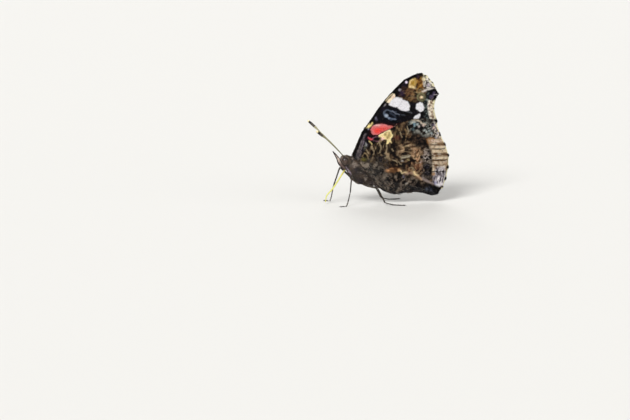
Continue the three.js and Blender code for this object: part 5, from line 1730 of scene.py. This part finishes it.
def root_hair(pair, wing, beds):
    """The same for hair over the wing's root, and on a hind wing along the abdomen."""
    x, z = beds.T
    reach_x, reach_z = ROOT_HAIR_REACH[pair]
    by_abdomen = (pair == "hind") * (z < 7.5 - 0.25 * x)
    wish = np.clip((x < reach_x) * (z < reach_z) * 1.0 + by_abdomen * 0.6, 0, 1)
    wish *= np.clip((14.5 - z) / 4 + 0.1, 0.05, 1)
    picked = dice.choice(len(beds), ROOT_HAIRS[pair], p=wish / wish.sum())
    places = beds[picked] + dice.normal(0, 0.05, (len(picked), 2))
    count = len(places)
    ways = unit(places - wing["hub"]) * 0.6 + (0.9, -0.35) + dice.normal(0, 0.25, places.shape)
    tint = wing["under"](places) * dice.uniform(0.65, 1.35, (count, 1))
    tufty = np.clip(noise(places, 0.7, 29) * 4 - 2.2, 0.03, 0.6) * np.clip((places[:, 1] - 3.6) / 2, 0.1, 1)
    tint = np.where(dice.random((count, 1)) < tufty[:, None], linear(ROOT_TUFTS), tint)
    return places, ways, 9.0, sized(dice.uniform(0.7, 1.3, count), 0.07, 0.06), tint


def fringe_scales(pair, wing):
    """The same for the long scales at the edge, and how deep each stands in its thickness."""
    at = np.repeat(np.flatnonzero(wing["fringed"] > 0.2), TUFTS_PER_STEP)
    edge, inward, fringed, count = wing["edge"][at], wing["inward"][at], wing["fringed"][at], len(at)
    run = np.stack([inward[:, 1], -inward[:, 0]], 1)
    places = wing["rim"][at] + inward * dice.uniform(0.02, 0.1, (count, 1))
    places = places + run * dice.uniform(-0.5, 0.5, (count, 1)) * SHEET_GRID * 1.2
    ways = -inward + run * dice.normal(0, 0.12, (count, 1))
    mark = np.clip((0.75 - fringed) * 4, 0, 1)
    for centre, radius in FRINGE_MARKS[pair]:
        off = np.linalg.norm(edge - centre, axis=1)
        mark = np.maximum(mark, np.clip((radius - off) / 0.15 + 0.5, 0, 1))
    tint = np.tile(linear(FRINGE_PALE), (count, 1))
    stain(tint, FRINGE_DARK, mark)
    stain(tint, FRINGE_BY_ABDOMEN, np.clip((2.5 - edge[:, 0]) / 3, 0, 1) * (pair == "hind"))
    tint = tint * dice.uniform(0.75, 1.1, (count, 1))
    length = fringed * FRINGE * dice.uniform(0.8, 1.0, count) + 0.02
    size = sized(length, dice.uniform(0.07, 0.1, count), SCALE_THICKNESS)
    return (places, ways, 0.0, size, tint), dice.random(count) * SHEET_HALF * 2


for pair, wing in WINGS.items():
    scales = outer_scales(wing)
    hidden = hidden_scales(wing)
    hair = root_hair(pair, wing, scales[0])
    fringe, deep = fringe_scales(pair, wing)
    low, high = wing["edge"].min(0), wing["edge"].max(0)
    for side, sign in (("left", -1), ("right", 1)):
        for kind, blade, look, face, depth, coat in (
                ("scales", scale_blade, scale_coat, outer_face, 0, scales),
                ("upper_scales", scale_blade, scale_coat, inner_face, 0, hidden),
                ("root_hair", hair_blade, fur_look, outer_face, 0, hair),
                ("fringe", scale_blade, scale_coat, outer_face, deep, fringe)):
            places, ways, lift, size, tint = coat
            roots, lie = wing_lie(wing, face, places, ways, sign, lift)
            roots[:, 1] -= sign * depth
            spots = on_sheet((places - low) / (high - low).max())
            grow(f"{pair}wing_{kind}_{side}", f"{pair}wing", blade, roots, lie, size, tint, spots, look)
for blade in (hair_blade, scale_blade):
    bpy.data.objects.remove(blade)

# Floor, light and camera
# A plain pale floor under soft studio light, seen from the side as the photo sees it, a little above and in
# front.
from mathutils import Matrix, Vector

FLOOR_RADIUS = 4.0
FLOOR_SIDES = 64
FLOOR_SHADE = (0.72, 0.71, 0.68, 1)
STUDIO_WHITE = (0.98, 0.98, 0.98, 1)
STUDIO_STRENGTH = 0.42
# Each lamp: its name, the way to it, its strength and how wide it looks in degrees
LAMPS = (("key", (-0.45, -0.75, 0.62), 3.1, 24), ("fill", (0.7, -0.5, 0.3), 0.7, 50),
        ("rim", (0.1, 0.9, 0.5), 1.2, 40))
VIEW_ROUND = math.radians(-8)
VIEW_ABOVE = math.radians(9)
PIXELS_PER_MM = 3.438
ORIGIN_PIXEL = (380.2, 203.0)
FRAME_PIXELS = (630, 420)
CAMERA_DISTANCE = 1200.0
SENSOR_WIDTH = 36.0

floor_mesh = bpy.data.meshes.new("floor")
angles = np.linspace(0, 2 * math.pi, FLOOR_SIDES, endpoint=False)
corners = [(FLOOR_RADIUS * math.cos(angle), FLOOR_RADIUS * math.sin(angle), 0) for angle in angles]
floor_mesh.from_pydata(corners, [], [list(range(FLOOR_SIDES))])
floor_mesh.materials.append(new_look("pale floor", Base_Color=FLOOR_SHADE, Roughness=0.9)[0])
stand("floor", floor_mesh)

world = bpy.data.worlds.new("studio")
world.use_nodes = True
world.node_tree.nodes["Background"].inputs["Color"].default_value = STUDIO_WHITE
world.node_tree.nodes["Background"].inputs["Strength"].default_value = STUDIO_STRENGTH
bpy.context.scene.world = world
bpy.context.scene.view_settings.view_transform = "Standard"

right = np.array((math.cos(VIEW_ROUND), math.sin(VIEW_ROUND), 0.0))
above = np.array((-math.sin(VIEW_ROUND) * math.sin(VIEW_ABOVE), math.cos(VIEW_ROUND) * math.sin(VIEW_ABOVE),
                  math.cos(VIEW_ABOVE)))
back = np.cross(right, above)
aim = right * (FRAME_PIXELS[0] / 2 - ORIGIN_PIXEL[0]) / PIXELS_PER_MM
aim = aim + above * (ORIGIN_PIXEL[1] - FRAME_PIXELS[1] / 2) / PIXELS_PER_MM
camera_data = bpy.data.cameras.new("camera")
camera_data.sensor_width = SENSOR_WIDTH
camera_data.lens = SENSOR_WIDTH * CAMERA_DISTANCE / (FRAME_PIXELS[0] / PIXELS_PER_MM)
camera = stand("camera", camera_data)
place = Matrix.Translation(Vector((aim + back * CAMERA_DISTANCE) * MM))
camera.matrix_world = place @ Matrix(np.stack([right, above, back], 1).tolist()).to_4x4()
bpy.context.scene.camera = camera

for name, way, strength, softness in LAMPS:
    lamp_data = bpy.data.lights.new(name, "SUN")
    lamp_data.energy = strength
    lamp_data.angle = math.radians(softness)
    stand(name, lamp_data).rotation_euler = Vector(way).to_track_quat("Z", "Y").to_euler()
